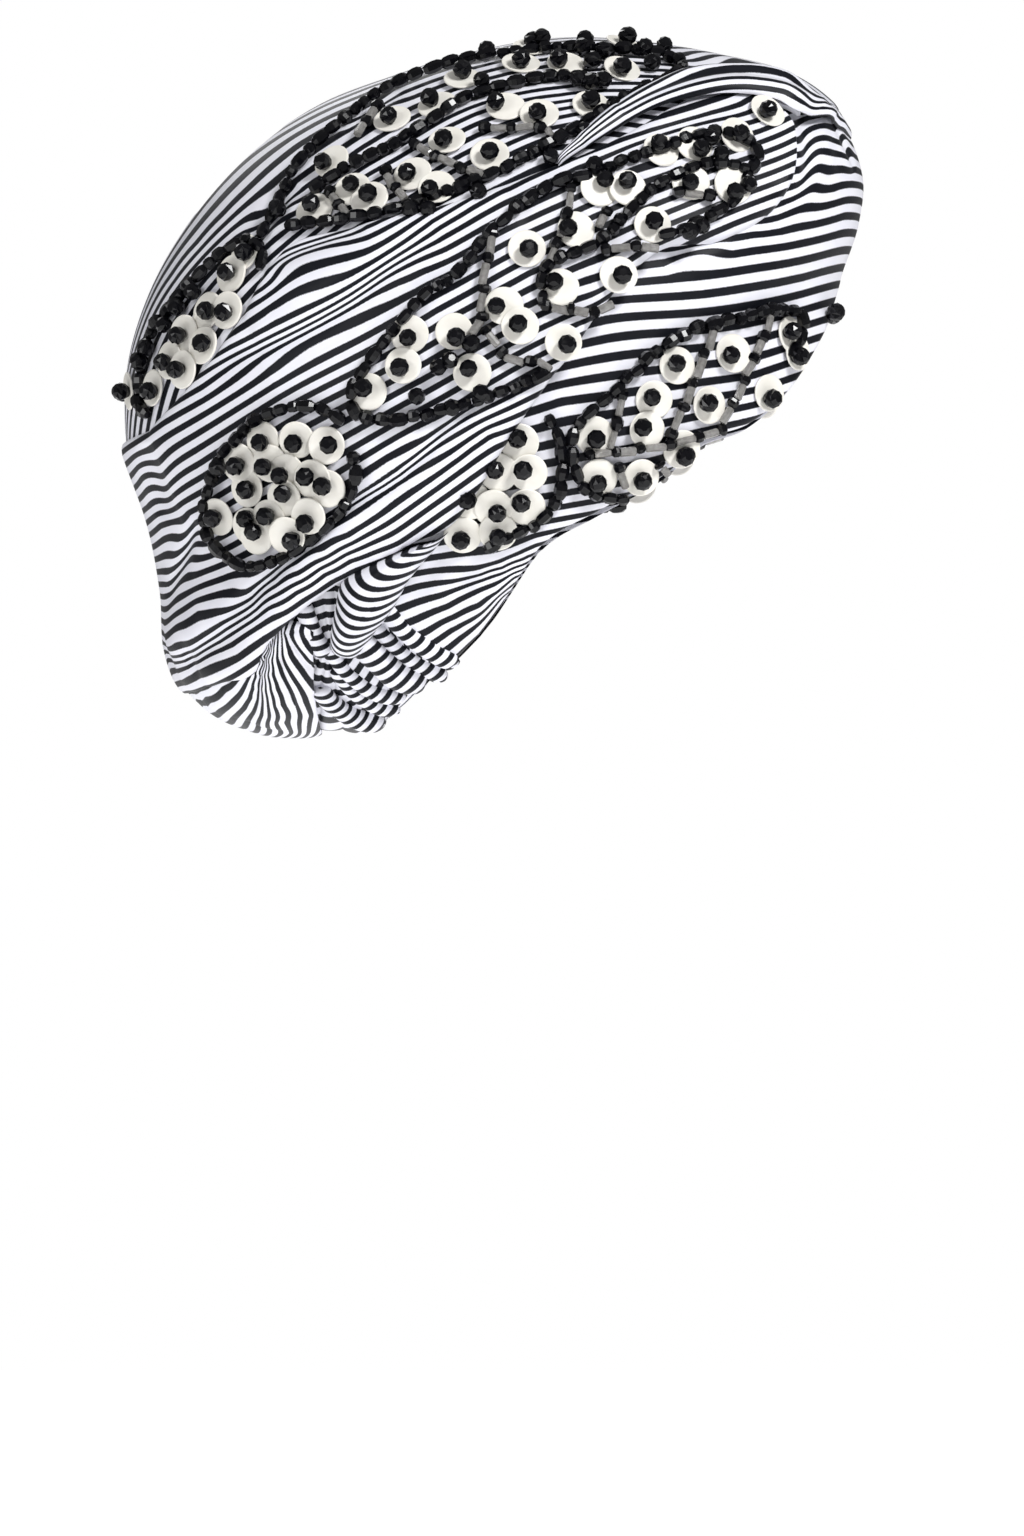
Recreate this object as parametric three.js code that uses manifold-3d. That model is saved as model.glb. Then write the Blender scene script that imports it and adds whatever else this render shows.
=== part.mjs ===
// A wrapped turban of striped satin cloth, sewn with bead strings and bead-eyed sequins.
// Millimetres, +Z up, the face side towards +X and the trimmed side shown towards -Y.
// The origin is where the crown of the head touches the inside of the wrap.
//
// The cloth follows a rounded ball. A place on it is given by two shares as seen from the side:
// along the turban's length from its back, and up its height from its lowest point.
// Each wrap is one closed wall. Wraps that lie over each other are whole layers apart.

import * as THREE from 'three';
import Module from 'manifold-3d';
import { mergeVertices } from 'three/addons/utils/BufferGeometryUtils.js';

// Driving sizes
const turbanLength = 242;
const turbanHeight = 226;
const headHollowWidth = 164;
const clothThickness = 1.6;
const layerGap = 0.9;
const foldHeight = 10;
const foldWidth = 10;
const stringDiameter = 3;
const sequinDiameter = 12;
const sequinThickness = 0.8;
const eyeBeadDiameter = 6.2;
const eyeBeadHeight = 4.4;
const stringGap = 0.9;
const sequinGap = 0.45;
const trimParting = 30;

// Fineness of the faceted surfaces
const stringSides = 8;
const stringStepLength = 10.5;
const sequinSides = 10;
const beadSides = 6;
const foldCurveSteps = 3;
const stringCurveSteps = 3;

const seat = { along: 0.587, up: 0.971 };
const middle = { along: 0.507, up: 0.479 };

// Side outline of the hollow: each row is [along, up] in hundredths of length and height
const outline = [
  [95.5, 55.0], [94.9, 63.6], [97.4, 72.0], [98.0, 78.6], [94.9, 86.7], [88.7, 92.1],
  [78.7, 95.0], [69.3, 96.6], [58.7, 97.1], [48.0, 95.3], [37.3, 91.9], [28.0, 88.1],
  [18.9, 81.4], [11.3, 72.4], [5.7, 62.1], [2.9, 52.1], [2.7, 42.1], [4.7, 30.7],
  [6.4, 20.7], [7.7, 12.1], [12.7, 5.0], [20.0, 1.6], [29.3, 1.0], [41.3, 0.0],
  [56.0, 0.7], [70.7, 6.4], [84.0, 17.9], [92.3, 32.1], [95.5, 45.0],
];

// Wraps: each section is [low along, low up, high along, high up] in hundredths.
// A strip runs round both sides and crosses the centre plane at its last section.
// A cap has its high points on the centre plane and its low points on both sides.
// A pair is one strip on each side.
const wraps = [
  { name: 'front_band', layout: 'strip', layer: 0, steps: [40, 7], cloth: 'stripe', sections: [
    [48.0, 13.4, 37.9, 26.8], [50.5, 16.9, 42.6, 37.4], [56.0, 26.0, 49.2, 46.6],
    [63.8, 31.2, 57.8, 56.5], [72.3, 36.2, 66.2, 66.0], [77.7, 41.2, 73.4, 75.6],
    [83.1, 44.8, 79.5, 84.0], [87.9, 49.9, 85.4, 88.0], [92.3, 57.8, 90.7, 89.4],
    [96.0, 63.1, 95.2, 89.1]] },
  { name: 'nape_gather', layout: 'cap', layer: 0, steps: [10, 14], cloth: 'stripe', sections: [
    [21.0, 18.0, 22.0, 1.4], [25.5, 22.5, 26.5, 0.9], [29.5, 25.5, 30.6, 0.8],
    [33.5, 27.0, 33.0, 0.4], [37.2, 26.2, 34.6, 0.2], [41.9, 19.3, 35.2, 0.1],
    [46.7, 12.3, 35.8, 0.1]] },
  { name: 'crown_wrap', layout: 'cap', layer: 1, steps: [22, 12], cloth: 'stripe', sections: [
    [90.4, 88.0, 95.5, 88.0], [80.9, 89.7, 92.0, 91.1], [70.5, 84.0, 83.6, 95.3],
    [58.5, 77.7, 70.5, 98.4], [44.1, 73.0, 50.5, 97.9], [31.6, 69.9, 30.6, 91.1],
    [23.9, 66.8, 16.0, 81.2], [20.6, 61.4, 9.3, 73.4], [14.9, 54.1, 4.0, 64.3],
    [11.3, 48.0, 0.7, 51.6], [6.9, 41.7, 0.0, 45.9], [6.2, 38.8, 0.8, 41.0]] },
  { name: 'back_pouch', layout: 'cap', layer: 1, steps: [10, 12], cloth: 'stripe', sections: [
    [18.4, 15.2, 7.8, 10.0], [19.8, 15.4, 10.2, 5.8], [21.3, 15.6, 12.8, 2.9],
    [23.0, 15.6, 16.9, 0.4], [24.6, 15.2, 22.3, 0.1], [26.0, 14.2, 27.6, 1.4]] },
  { name: 'under_roll', layout: 'pair', layer: 1, steps: [8, 4], cloth: 'stripe', sections: [
    [43.8, 28.2, 39.9, 26.2], [41.8, 25.4, 34.9, 24.4], [38.7, 21.6, 29.9, 21.6],
    [36.7, 17.9, 28.9, 17.7], [34.0, 14.0, 28.3, 13.8], [31.9, 10.2, 28.2, 11.0]] },
  { name: 'side_wrap', layout: 'strip', layer: 2, steps: [56, 7], cloth: 'stripe', sections: [
    [89.8, 85.7, 87.1, 91.0], [88.4, 75.6, 82.7, 91.6], [80.9, 70.2, 76.1, 90.4],
    [71.8, 68.2, 69.1, 86.2], [63.8, 59.3, 62.5, 82.6], [56.9, 49.0, 55.1, 79.4],
    [51.6, 40.7, 44.1, 75.0], [44.5, 29.2, 31.6, 71.9], [37.2, 25.3, 21.9, 68.9],
    [27.9, 19.9, 16.0, 58.9], [20.3, 13.0, 9.3, 49.6], [18.0, 8.3, 4.3, 43.8],
    [13.4, 7.1, 3.0, 42.6], [10.2, 6.9, 2.5, 41.7]] },
  { name: 'top_roll', layout: 'strip', layer: 3, steps: [20, 4], cloth: 'stripe', sections: [
    [58.5, 80.8, 58.0, 81.9], [65.4, 85.2, 64.4, 88.4], [71.8, 88.8, 70.8, 92.6],
    [79.6, 90.8, 78.8, 95.4], [87.1, 90.2, 87.8, 94.4], [91.9, 88.2, 93.4, 91.2],
    [96.6, 84.0, 96.0, 88.6]] },
];

// Folds: a ridge along each path lifts its own layer and all that lie over it.
// Width and height are shares of foldWidth and foldHeight, and a negative height is a valley.
const folds = [
  { layer: 2, width: 0.9, height: 0.3,
    path: [[79.8, 71.0], [70.5, 66.8], [63.6, 57.9], [56.2, 48.0], [50.5, 40.3], [44.1, 30.4]] },
  { layer: 2, width: 1.5, height: 0.25, path: [[17.3, 57.2], [27.9, 62.9], [41.2, 68.5], [53.2, 73.4]] },
  { layer: 2, width: 1.2, height: -0.15, path: [[20.0, 50.8], [30.6, 57.2], [41.2, 61.4]] },
  { layer: 2, width: 1.0, height: 0.3, path: [[26.6, 22.6], [20.6, 16.9], [14.0, 10.6], [10.6, 8.9]] },
  { layer: 2, width: 1.0, height: 0.25, path: [[14.6, 21.2], [8.6, 13.4], [6.6, 9.9]] },
  { layer: 3, width: 0.9, height: 0.35,
    path: [[61.2, 84.2], [69.1, 89.4], [77.1, 92.8], [84.4, 93.2], [91.1, 90.6], [95.7, 87.2]] },
  { layer: 1, width: 0.9, height: 0.4, path: [[39.4, 24.0], [35.2, 20.9], [31.6, 16.2], [29.5, 11.3]] },
  { layer: 0, width: 0.7, height: 0.2,
    path: [[89.8, 86.9], [91.2, 82.6], [90.4, 78.7], [88.4, 74.9], [87.0, 71.6]] },
  { layer: 0, width: 0.7, height: 0.2, path: [[92.6, 87.6], [95.2, 84.0], [96.5, 79.5]] },
  { layer: 0, width: 0.6, height: 0.3, path: [[34.6, 19.1], [39.4, 14.1], [44.5, 10.2]] },
  { layer: 0, width: 0.6, height: 0.25, path: [[30.6, 10.6], [34.0, 7.1], [37.2, 4.2]] },
  { layer: 1, width: 0.7, height: 0.2, path: [[22.6, 12.7], [15.3, 7.1], [12.0, 4.2]] },
  { layer: 1, width: 0.7, height: 0.2, path: [[22.6, 12.0], [20.6, 4.9], [19.3, 1.4]] },
];

// Strings of beads: each outlines one leaf-shaped field on both sides of the wrap
const strings = [
  { name: 'bead_string_crown', layer: 1, path: [
    [18.9, 70.2], [20.7, 74.9], [24.6, 81.9], [29.7, 86.9], [34.7, 91.0], [41.8, 94.3],
    [48.4, 96.0], [55.1, 96.9], [63.8, 97.1], [70.5, 96.6], [74.6, 95.1], [72.5, 92.6],
    [66.9, 90.0], [62.2, 86.6], [56.6, 83.2], [51.6, 80.2], [44.1, 76.8], [34.7, 73.4],
    [27.0, 72.2], [22.3, 71.6]] },
  { name: 'bead_string_back', layer: 1, path: [
    [18.8, 65.5], [18.9, 68.3], [17.6, 69.6], [15.3, 69.0], [11.4, 65.7], [6.9, 60.2],
    [4.2, 56.4], [2.8, 50.7], [2.7, 46.8], [4.0, 45.4]] },
  { name: 'bead_string_side', layer: 2, path: [
    [57.2, 50.8], [50.3, 47.5], [44.1, 45.6], [36.4, 43.8], [31.4, 44.8], [31.0, 48.5],
    [33.9, 53.4], [39.4, 60.6], [45.1, 64.8], [49.7, 70.9], [57.2, 77.4], [63.3, 79.4],
    [70.5, 82.4], [75.5, 84.2], [80.0, 85.2], [83.4, 84.0], [84.8, 81.8], [83.8, 79.0],
    [81.2, 74.9], [75.8, 71.4], [71.8, 70.0]] },
  { name: 'bead_string_drop', layer: 2, path: [
    [29.7, 43.6], [26.3, 45.6], [22.6, 45.8], [17.4, 43.4], [13.6, 38.8], [11.3, 32.1],
    [12.0, 27.4], [14.8, 24.2], [18.5, 23.2], [23.3, 25.3], [27.9, 29.2], [30.9, 34.0],
    [30.9, 39.4]] },
  { name: 'bead_string_low', layer: 0, path: [
    [56.9, 44.6], [58.2, 41.5], [58.9, 36.6], [57.0, 30.9], [53.1, 28.1], [48.4, 25.8]] },
  { name: 'bead_string_temple', layer: 0, path: [
    [67.4, 32.9], [63.6, 33.2], [60.6, 36.2], [60.0, 40.3], [61.6, 44.2], [65.2, 47.7],
    [71.3, 53.7], [76.3, 56.9], [82.4, 58.6], [87.2, 59.6], [90.2, 59.2], [90.4, 56.8],
    [88.8, 53.2]] },
];

// Largest sequins on the side shown: each row is [along, up] of its middle
const sequinFields = [
  { name: 'sequin_crown', layer: 1, places: [
    [36.4, 86.6], [45.6, 91.4], [53.3, 93.6], [55.7, 87.1], [43.6, 83.5], [31.2, 77.6]] },
  { name: 'sequin_back', layer: 1, places: [[15.3, 64.8], [9.2, 57.6], [7.3, 51.9]] },
  { name: 'sequin_side', layer: 2, places: [
    [54.1, 68.1], [53.2, 57.2], [40.4, 54.4], [46.9, 50.6], [63.7, 75.4], [70.7, 73.6],
    [80.4, 81.4]] },
  { name: 'sequin_drop', layer: 2, places: [
    [19.2, 40.2], [27.0, 39.8], [23.2, 36.2], [26.6, 32.6], [17.3, 34.5], [18.6, 27.8]] },
  { name: 'sequin_low', layer: 0, places: [[54.6, 38.4], [53.0, 32.4], [47.8, 30.0]] },
  { name: 'sequin_temple', layer: 0, places: [
    [86.8, 55.8], [80.7, 53.5], [73.7, 50.7], [77.9, 46.2], [63.9, 40.3]] },
];

const share = 100;
const layerStep = clothThickness + layerGap;
const wasm = await Module();
wasm.setup();

const looks = {
  stripe: new THREE.MeshStandardMaterial({ color: 0x7d7f8c, roughness: 0.45, metalness: 0 }),
  string: new THREE.MeshStandardMaterial({ color: 0x0c0d10, roughness: 0.2, metalness: 0 }),
  sequin: new THREE.MeshStandardMaterial({ color: 0xf2efe6, roughness: 0.35, metalness: 0 }),
};

function sidePlace(along, up) {
  return {
    x: (along / share - seat.along) * turbanLength,
    z: (up / share - seat.up) * turbanHeight,
  };
}

const ballMiddle = sidePlace(middle.along * share, middle.up * share);

// The outline as angle and reach from the ball's middle, in order of angle, wrapped past both ends
const outlineRays = outline.map(([along, up]) => {
  const { x, z } = sidePlace(along, up);
  return {
    angle: Math.atan2(z - ballMiddle.z, x - ballMiddle.x),
    reach: Math.hypot(x - ballMiddle.x, z - ballMiddle.z),
  };
}).sort((a, b) => a.angle - b.angle);
const wrappedRays = [
  ...outlineRays.slice(-2).map((ray) => ({ ...ray, angle: ray.angle - 2 * Math.PI })),
  ...outlineRays,
  ...outlineRays.slice(0, 3).map((ray) => ({ ...ray, angle: ray.angle + 2 * Math.PI })),
];

function slopeAt(index) {
  const before = wrappedRays[index - 1];
  const after = wrappedRays[index + 1];
  return (after.reach - before.reach) / (after.angle - before.angle);
}

// Reach of the outline at an angle, by a cubic through the outline's rays
function reachAt(angle) {
  let index = 1;
  while (index < wrappedRays.length - 3 && wrappedRays[index + 1].angle <= angle) index += 1;
  const start = wrappedRays[index];
  const end = wrappedRays[index + 1];
  const span = end.angle - start.angle;
  const t = (angle - start.angle) / span;
  return (2 * t ** 3 - 3 * t ** 2 + 1) * start.reach + (t ** 3 - 2 * t ** 2 + t) * span * slopeAt(index)
    + (-2 * t ** 3 + 3 * t ** 2) * end.reach + (t ** 3 - t ** 2) * span * slopeAt(index + 1);
}

// Point of the unit ball that carries a side place, where something that lies a height over
// the hollow is seen on the side shown
function onBall(along, up, height) {
  const { x, z } = sidePlace(along, up);
  const angle = Math.atan2(z - ballMiddle.z, x - ballMiddle.x);
  const fromMiddle = Math.hypot(x - ballMiddle.x, z - ballMiddle.z);
  const spread = Math.min(fromMiddle / (reachAt(angle) + height), 1);
  const depth = Math.sqrt(1 - spread ** 2);
  return new THREE.Vector3(spread * Math.cos(angle), -depth, spread * Math.sin(angle));
}

// The same for a piece of trim, which keeps clear of its twin over the centre plane
function trimOnBall(along, up, height) {
  const place = onBall(along, up, height);
  const depth = Math.max(-place.y, trimParting / headHollowWidth);
  const spread = Math.sqrt(1 - depth ** 2) / Math.hypot(place.x, place.z);
  return new THREE.Vector3(place.x * spread, -depth, place.z * spread);
}

// Height of a layer's outer face over the hollow
function faceHeight(layer) {
  return layer * layerStep + clothThickness;
}

// Surface point and outward direction of the hollow for a point of the unit ball
function onHollow(ballPoint) {
  const q = ballPoint.clone().normalize();
  const reach = reachAt(Math.atan2(q.z, q.x));
  const half = headHollowWidth / 2;
  const point = new THREE.Vector3(ballMiddle.x + reach * q.x, half * q.y, ballMiddle.z + reach * q.z);
  const outward = new THREE.Vector3(q.x / reach, q.y / half, q.z / reach).normalize();
  return { point, outward };
}

const foldRidges = folds.map((fold) => {
  const curve = new THREE.CatmullRomCurve3(
    fold.path.map(([along, up]) => onBall(along, up, faceHeight(fold.layer))), false, 'catmullrom', 0.5);
  const ridge = curve.getPoints((fold.path.length - 1) * foldCurveSteps)
    .map((ballPoint) => onHollow(ballPoint).point);
  return { ...fold, ridge };
});

// Height that the folds of this layer and of those under it add at a point of the hollow
function foldLift(point, layer) {
  const shown = new THREE.Vector3(point.x, -Math.abs(point.y), point.z);
  const nearest = new THREE.Vector3();
  let lift = 0;
  for (const fold of foldRidges) {
    if (fold.layer > layer) continue;
    let distance = Infinity;
    let along = 0;
    for (let index = 0; index < fold.ridge.length - 1; index += 1) {
      const piece = new THREE.Line3(fold.ridge[index], fold.ridge[index + 1]);
      const part = piece.closestPointToPointParameter(shown, true);
      piece.at(part, nearest);
      if (nearest.distanceTo(shown) < distance) {
        distance = nearest.distanceTo(shown);
        along = (index + part) / (fold.ridge.length - 1);
      }
    }
    const fade = Math.sqrt(Math.max(0, Math.sin(Math.PI * along)));
    lift += fold.height * foldHeight * fade * Math.exp(-((distance / (fold.width * foldWidth)) ** 2));
  }
  return lift;
}

// Point at a height over the inside of a layer, with the folds added
function onLayer(ballPoint, layer, height) {
  const { point, outward } = onHollow(ballPoint);
  const lift = layer * layerStep + foldLift(point, layer) + height;
  return point.addScaledVector(outward, lift);
}

function mirrored(ballPoint) {
  return new THREE.Vector3(ballPoint.x, -ballPoint.y, ballPoint.z);
}

function smoothCurve(points) {
  return new THREE.CatmullRomCurve3(points, false, 'catmullrom', 0.5);
}

// Function of two shares, along and across a wrap, that gives a point of the unit ball
function wrapSurface(wrap, onFarSide) {
  const height = faceHeight(wrap.layer);
  const low = wrap.sections.map((section) => onBall(section[0], section[1], height));
  const high = wrap.sections.map((section) => onBall(section[2], section[3], height));
  if (wrap.layout === 'strip') {
    low.at(-1).y = 0;
    high.at(-1).y = 0;
    low.push(...low.slice(0, -1).reverse().map(mirrored));
    high.push(...high.slice(0, -1).reverse().map(mirrored));
  }
  const lowCurve = smoothCurve(low);
  const highCurve = smoothCurve(high);
  if (wrap.layout === 'cap') {
    return (along, across) => {
      const s = 2 * across - 1;
      const side = lowCurve.getPoint(along);
      const centre = highCurve.getPoint(along);
      centre.setY(0).normalize();
      return centre.multiplyScalar(1 - s * s)
        .addScaledVector(side, (s * s - s) / 2)
        .addScaledVector(mirrored(side), (s * s + s) / 2)
        .normalize();
    };
  }
  return (along, across) => {
    const place = lowCurve.getPoint(along).lerp(highCurve.getPoint(along), across).normalize();
    return onFarSide ? mirrored(place) : place;
  };
}

// Closed solid between an outer and an inner grid of points, each [rows][columns]
function solidBetween(outer, inner) {
  const rows = outer.length;
  const columns = outer[0].length;
  const positions = [...outer.flat(), ...inner.flat()].flatMap((point) => [point.x, point.y, point.z]);
  const outerAt = (row, column) => row * columns + column;
  const innerAt = (row, column) => rows * columns + row * columns + column;
  const faces = [];
  const quad = (a, b, c, d) => faces.push(a, b, c, a, c, d);
  for (let row = 0; row < rows - 1; row += 1) {
    for (let column = 0; column < columns - 1; column += 1) {
      quad(outerAt(row, column), outerAt(row, column + 1), outerAt(row + 1, column + 1), outerAt(row + 1, column));
      quad(innerAt(row, column), innerAt(row + 1, column), innerAt(row + 1, column + 1), innerAt(row, column + 1));
    }
  }
  for (let row = 0; row < rows - 1; row += 1) {
    quad(outerAt(row, 0), outerAt(row + 1, 0), innerAt(row + 1, 0), innerAt(row, 0));
    quad(outerAt(row + 1, columns - 1), outerAt(row, columns - 1), innerAt(row, columns - 1), innerAt(row + 1, columns - 1));
  }
  for (let column = 0; column < columns - 1; column += 1) {
    quad(outerAt(0, column + 1), outerAt(0, column), innerAt(0, column), innerAt(0, column + 1));
    quad(outerAt(rows - 1, column), outerAt(rows - 1, column + 1), innerAt(rows - 1, column + 1), innerAt(rows - 1, column));
  }
  const geometry = new THREE.BufferGeometry();
  geometry.setAttribute('position', new THREE.Float32BufferAttribute(positions, 3));
  geometry.setIndex(faces);
  return facingOut(geometry);
}

function signedVolume(geometry) {
  const place = geometry.getAttribute('position');
  const index = geometry.getIndex();
  const corners = [new THREE.Vector3(), new THREE.Vector3(), new THREE.Vector3()];
  let volume = 0;
  for (let face = 0; face < index.count; face += 3) {
    corners.forEach((corner, turn) => corner.fromBufferAttribute(place, index.getX(face + turn)));
    volume += corners[0].dot(corners[1].clone().cross(corners[2])) / 6;
  }
  return volume;
}

function facingOut(geometry) {
  if (signedVolume(geometry) < 0) {
    const index = geometry.getIndex();
    for (let face = 0; face < index.count; face += 3) {
      const second = index.getX(face + 1);
      index.setX(face + 1, index.getX(face + 2));
      index.setX(face + 2, second);
    }
  }
  return geometry;
}

function wrapGeometry(wrap, onFarSide = false) {
  const surface = wrapSurface(wrap, onFarSide);
  const [alongSteps, acrossSteps] = wrap.steps;
  const sheet = (height) => Array.from({ length: alongSteps + 1 }, (unusedRow, row) => (
    Array.from({ length: acrossSteps + 1 }, (unusedColumn, column) => (
      onLayer(surface(row / alongSteps, column / acrossSteps), wrap.layer, height)))));
  return solidBetween(sheet(clothThickness), sheet(0));
}

// Tube that stands for a string of beads, resting on its layer of cloth
function stringGeometry(string, onFarSide) {
  const height = clothThickness + stringGap + stringDiameter / 2;
  const seenHeight = string.layer * layerStep + height;
  const route = smoothCurve(string.path.map(([along, up]) => trimOnBall(along, up, seenHeight)));
  const points = route.getPoints((string.path.length - 1) * stringCurveSteps)
    .map((place) => onLayer(onFarSide ? mirrored(place) : place, string.layer, height));
  const section = new THREE.Shape(Array.from({ length: stringSides }, (unused, side) => {
    const angle = (side + 0.5) / stringSides * 2 * Math.PI;
    return new THREE.Vector2(Math.cos(angle), Math.sin(angle)).multiplyScalar(stringDiameter / 2);
  }));
  const extrudePath = smoothCurve(points);
  const steps = Math.ceil(extrudePath.getLength() / stringStepLength);
  return new THREE.ExtrudeGeometry(section, { steps, bevelEnabled: false, extrudePath });
}

function toSolid(geometry) {
  const bare = geometry.clone();
  bare.deleteAttribute('normal');
  bare.deleteAttribute('uv');
  const merged = mergeVertices(bare, 1e-4);
  return new wasm.Manifold(new wasm.Mesh({
    numProp: 3,
    vertProperties: new Float32Array(merged.getAttribute('position').array),
    triVerts: new Uint32Array(merged.getIndex().array),
  }));
}

function fromSolid(solid) {
  const mesh = solid.getMesh();
  const geometry = new THREE.BufferGeometry();
  geometry.setAttribute('position', new THREE.BufferAttribute(new Float32Array(mesh.vertProperties), 3));
  geometry.setIndex(new THREE.BufferAttribute(new Uint32Array(mesh.triVerts), 1));
  return geometry;
}

// Flat sequin with a faceted glass bead sewn on it, off its middle, as one solid
function sequinGeometry() {
  const disc = new THREE.CylinderGeometry(
    sequinDiameter / 2, sequinDiameter / 2, sequinThickness, sequinSides);
  disc.translate(0, sequinThickness / 2, 0);
  const radius = eyeBeadDiameter / 2;
  const profile = [
    [0, -0.1], [0.7, -0.1], [1, 0.42], [0.62, 1], [0, 1],
  ].map(([across, up]) => new THREE.Vector2(across * radius, sequinThickness + up * eyeBeadHeight));
  const bead = new THREE.LatheGeometry(profile, beadSides);
  const offMiddle = (sequinDiameter - eyeBeadDiameter) / 5;
  bead.translate(-offMiddle, 0, -offMiddle);
  const joined = toSolid(disc).add(toSolid(bead));
  return fromSolid(joined);
}

// Point of the unit ball under a point near the hollow's surface
function ballUnder(spot) {
  const aside = new THREE.Vector3(spot.x - ballMiddle.x, 0, spot.z - ballMiddle.z);
  const reach = reachAt(Math.atan2(aside.z, aside.x));
  return new THREE.Vector3(aside.x / reach, spot.y / (headHollowWidth / 2), aside.z / reach).normalize();
}

// A sequin lies square to the cloth, as high as the highest cloth under its rim
function sequinMesh(name, geometry, layer, [along, up]) {
  const place = trimOnBall(along, up, faceHeight(layer) + sequinGap);
  const { point, outward } = onHollow(place);
  const across = new THREE.Vector3(0, 0, 1).cross(outward).normalize();
  const upward = outward.clone().cross(across);
  const heights = [onLayer(place, layer, clothThickness).sub(point).dot(outward)];
  for (let side = 0; side < sequinSides; side += 1) {
    const angle = side / sequinSides * 2 * Math.PI;
    for (const ring of [0.5, 1]) {
      const spot = point.clone()
        .addScaledVector(across, Math.cos(angle) * ring * sequinDiameter / 2)
        .addScaledVector(upward, Math.sin(angle) * ring * sequinDiameter / 2);
      heights.push(onLayer(ballUnder(spot), layer, clothThickness).sub(point).dot(outward));
    }
  }
  const mesh = new THREE.Mesh(geometry, looks.sequin);
  mesh.name = name;
  mesh.position.copy(point).addScaledVector(outward, Math.max(...heights) + sequinGap);
  mesh.quaternion.setFromUnitVectors(new THREE.Vector3(0, 1, 0), outward);
  return mesh;
}

const turban = new THREE.Group();

for (const wrap of wraps) {
  const sides = wrap.layout === 'pair' ? [false, true] : [false];
  for (const onFarSide of sides) {
    const mesh = new THREE.Mesh(wrapGeometry(wrap, onFarSide), looks[wrap.cloth]);
    const ending = onFarSide ? '_left' : '_right';
    mesh.name = wrap.layout === 'pair' ? wrap.name + ending : wrap.name;
    turban.add(mesh);
  }
}

for (const string of strings) {
  for (const onFarSide of [false, true]) {
    const mesh = new THREE.Mesh(stringGeometry(string, onFarSide), looks.string);
    mesh.name = `${string.name}_${onFarSide ? 'left' : 'right'}`;
    turban.add(mesh);
  }
}

const sequin = sequinGeometry();
for (const field of sequinFields) {
  field.places.forEach((place, index) => {
    turban.add(sequinMesh(`${field.name}_${index + 1}`, sequin, field.layer, place));
  });
}

export default turban;
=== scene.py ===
"""A wrapped turban of striped satin, sewn with bead strings and bead-eyed sequins.

Every cloth surface follows a rounded ball. A place on it is two shares seen from the side, in
hundredths: along the length from the back, and up the height from the lowest point.
Shapes are worked out in millimetres and put into the meshes in metres.
"""
import math
import bpy
import numpy as np
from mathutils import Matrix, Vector


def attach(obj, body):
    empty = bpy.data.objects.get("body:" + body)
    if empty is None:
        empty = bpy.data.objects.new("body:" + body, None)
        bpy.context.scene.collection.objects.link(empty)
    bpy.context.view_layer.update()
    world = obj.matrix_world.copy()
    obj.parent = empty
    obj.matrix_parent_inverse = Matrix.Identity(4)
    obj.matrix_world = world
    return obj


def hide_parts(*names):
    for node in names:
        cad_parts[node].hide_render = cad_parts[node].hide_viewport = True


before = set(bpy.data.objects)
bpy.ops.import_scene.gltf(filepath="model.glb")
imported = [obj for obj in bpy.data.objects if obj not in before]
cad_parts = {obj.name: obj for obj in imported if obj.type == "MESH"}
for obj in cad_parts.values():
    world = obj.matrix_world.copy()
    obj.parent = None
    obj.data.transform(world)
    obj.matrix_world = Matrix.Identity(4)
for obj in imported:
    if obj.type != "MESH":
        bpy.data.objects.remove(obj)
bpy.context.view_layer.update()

MM = 0.001
LENGTH = 242.0
HEIGHT = 226.0
HOLLOW_WIDTH = 164.0
CLOTH = 1.6
LAYER_GAP = 0.9
LAYER_STEP = CLOTH + LAYER_GAP
FOLD_HEIGHT = 10.0
FOLD_WIDTH = 10.0
SEAT = (58.7, 97.1)
MIDDLE = (50.7, 47.9)
TRIM_PARTING = 30.0
STRING_BEAD = 3.0
STRING_GAP = 0.9
SEQUIN_GAP = 0.45
SEQUIN = 12.2
EYE_BEAD = 6.2
EYE_RISE = EYE_BEAD / 2 + 0.4
SEQUIN_LIFT = 0.9
STACK_STEP = 0.5
STACK_LIMIT = 1.6
BEAD_LENGTH = 5.2
VEIN_BEAD_LENGTH = 3.8
BUGLE_LENGTH = 6.4
BUGLE_THIN = 0.62
FULL_SPIN = 6.28
PINCH = (28.4, 13.4)
POUCH_TOP = (22.4, 16.4)
NAPE_PLEAT = 17.0
POUCH_PLEAT = 27.0
POUCH_DEPTH = 36.0
STRIPE_STEP = 4.1
FRONT_SINK = 6.0
BACK_SINK = 4.4
TOP_LAYER = 3
THINNEST = 0.02
ROLL_STEPS = 64
ROLL_SIDES = 24
SEEN_WHITE = 1.0
SOFT_WHITE = 0.22
STRIPE_EDGE = 22.0
DARK_SHARE = 0.243
BATCH = 20000
FLOOR_Z = -0.468
FLOOR_HALF = 1.4
AIM = (-0.02, 0.0, -0.11)
CAMERA_AWAY = 6.0
FRAME_HEIGHT = 0.4921
random = np.random.default_rng(7)

OUTLINE = [
    (95.5, 55.0), (94.9, 63.6), (97.4, 72.0), (98.0, 78.6), (94.9, 86.7), (88.7, 92.1),
    (78.7, 95.0), (69.3, 96.6), (58.7, 97.1), (48.0, 95.3), (37.3, 91.9), (28.0, 88.1),
    (18.9, 81.4), (11.3, 72.4), (5.7, 62.1), (2.9, 52.1), (2.7, 42.1), (4.7, 30.7),
    (6.4, 20.7), (7.7, 12.1), (12.7, 5.0), (20.0, 1.6), (29.3, 1.0), (41.3, 0.0),
    (56.0, 0.7), (70.7, 6.4), (84.0, 17.9), (92.3, 32.1), (95.5, 45.0)]

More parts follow.
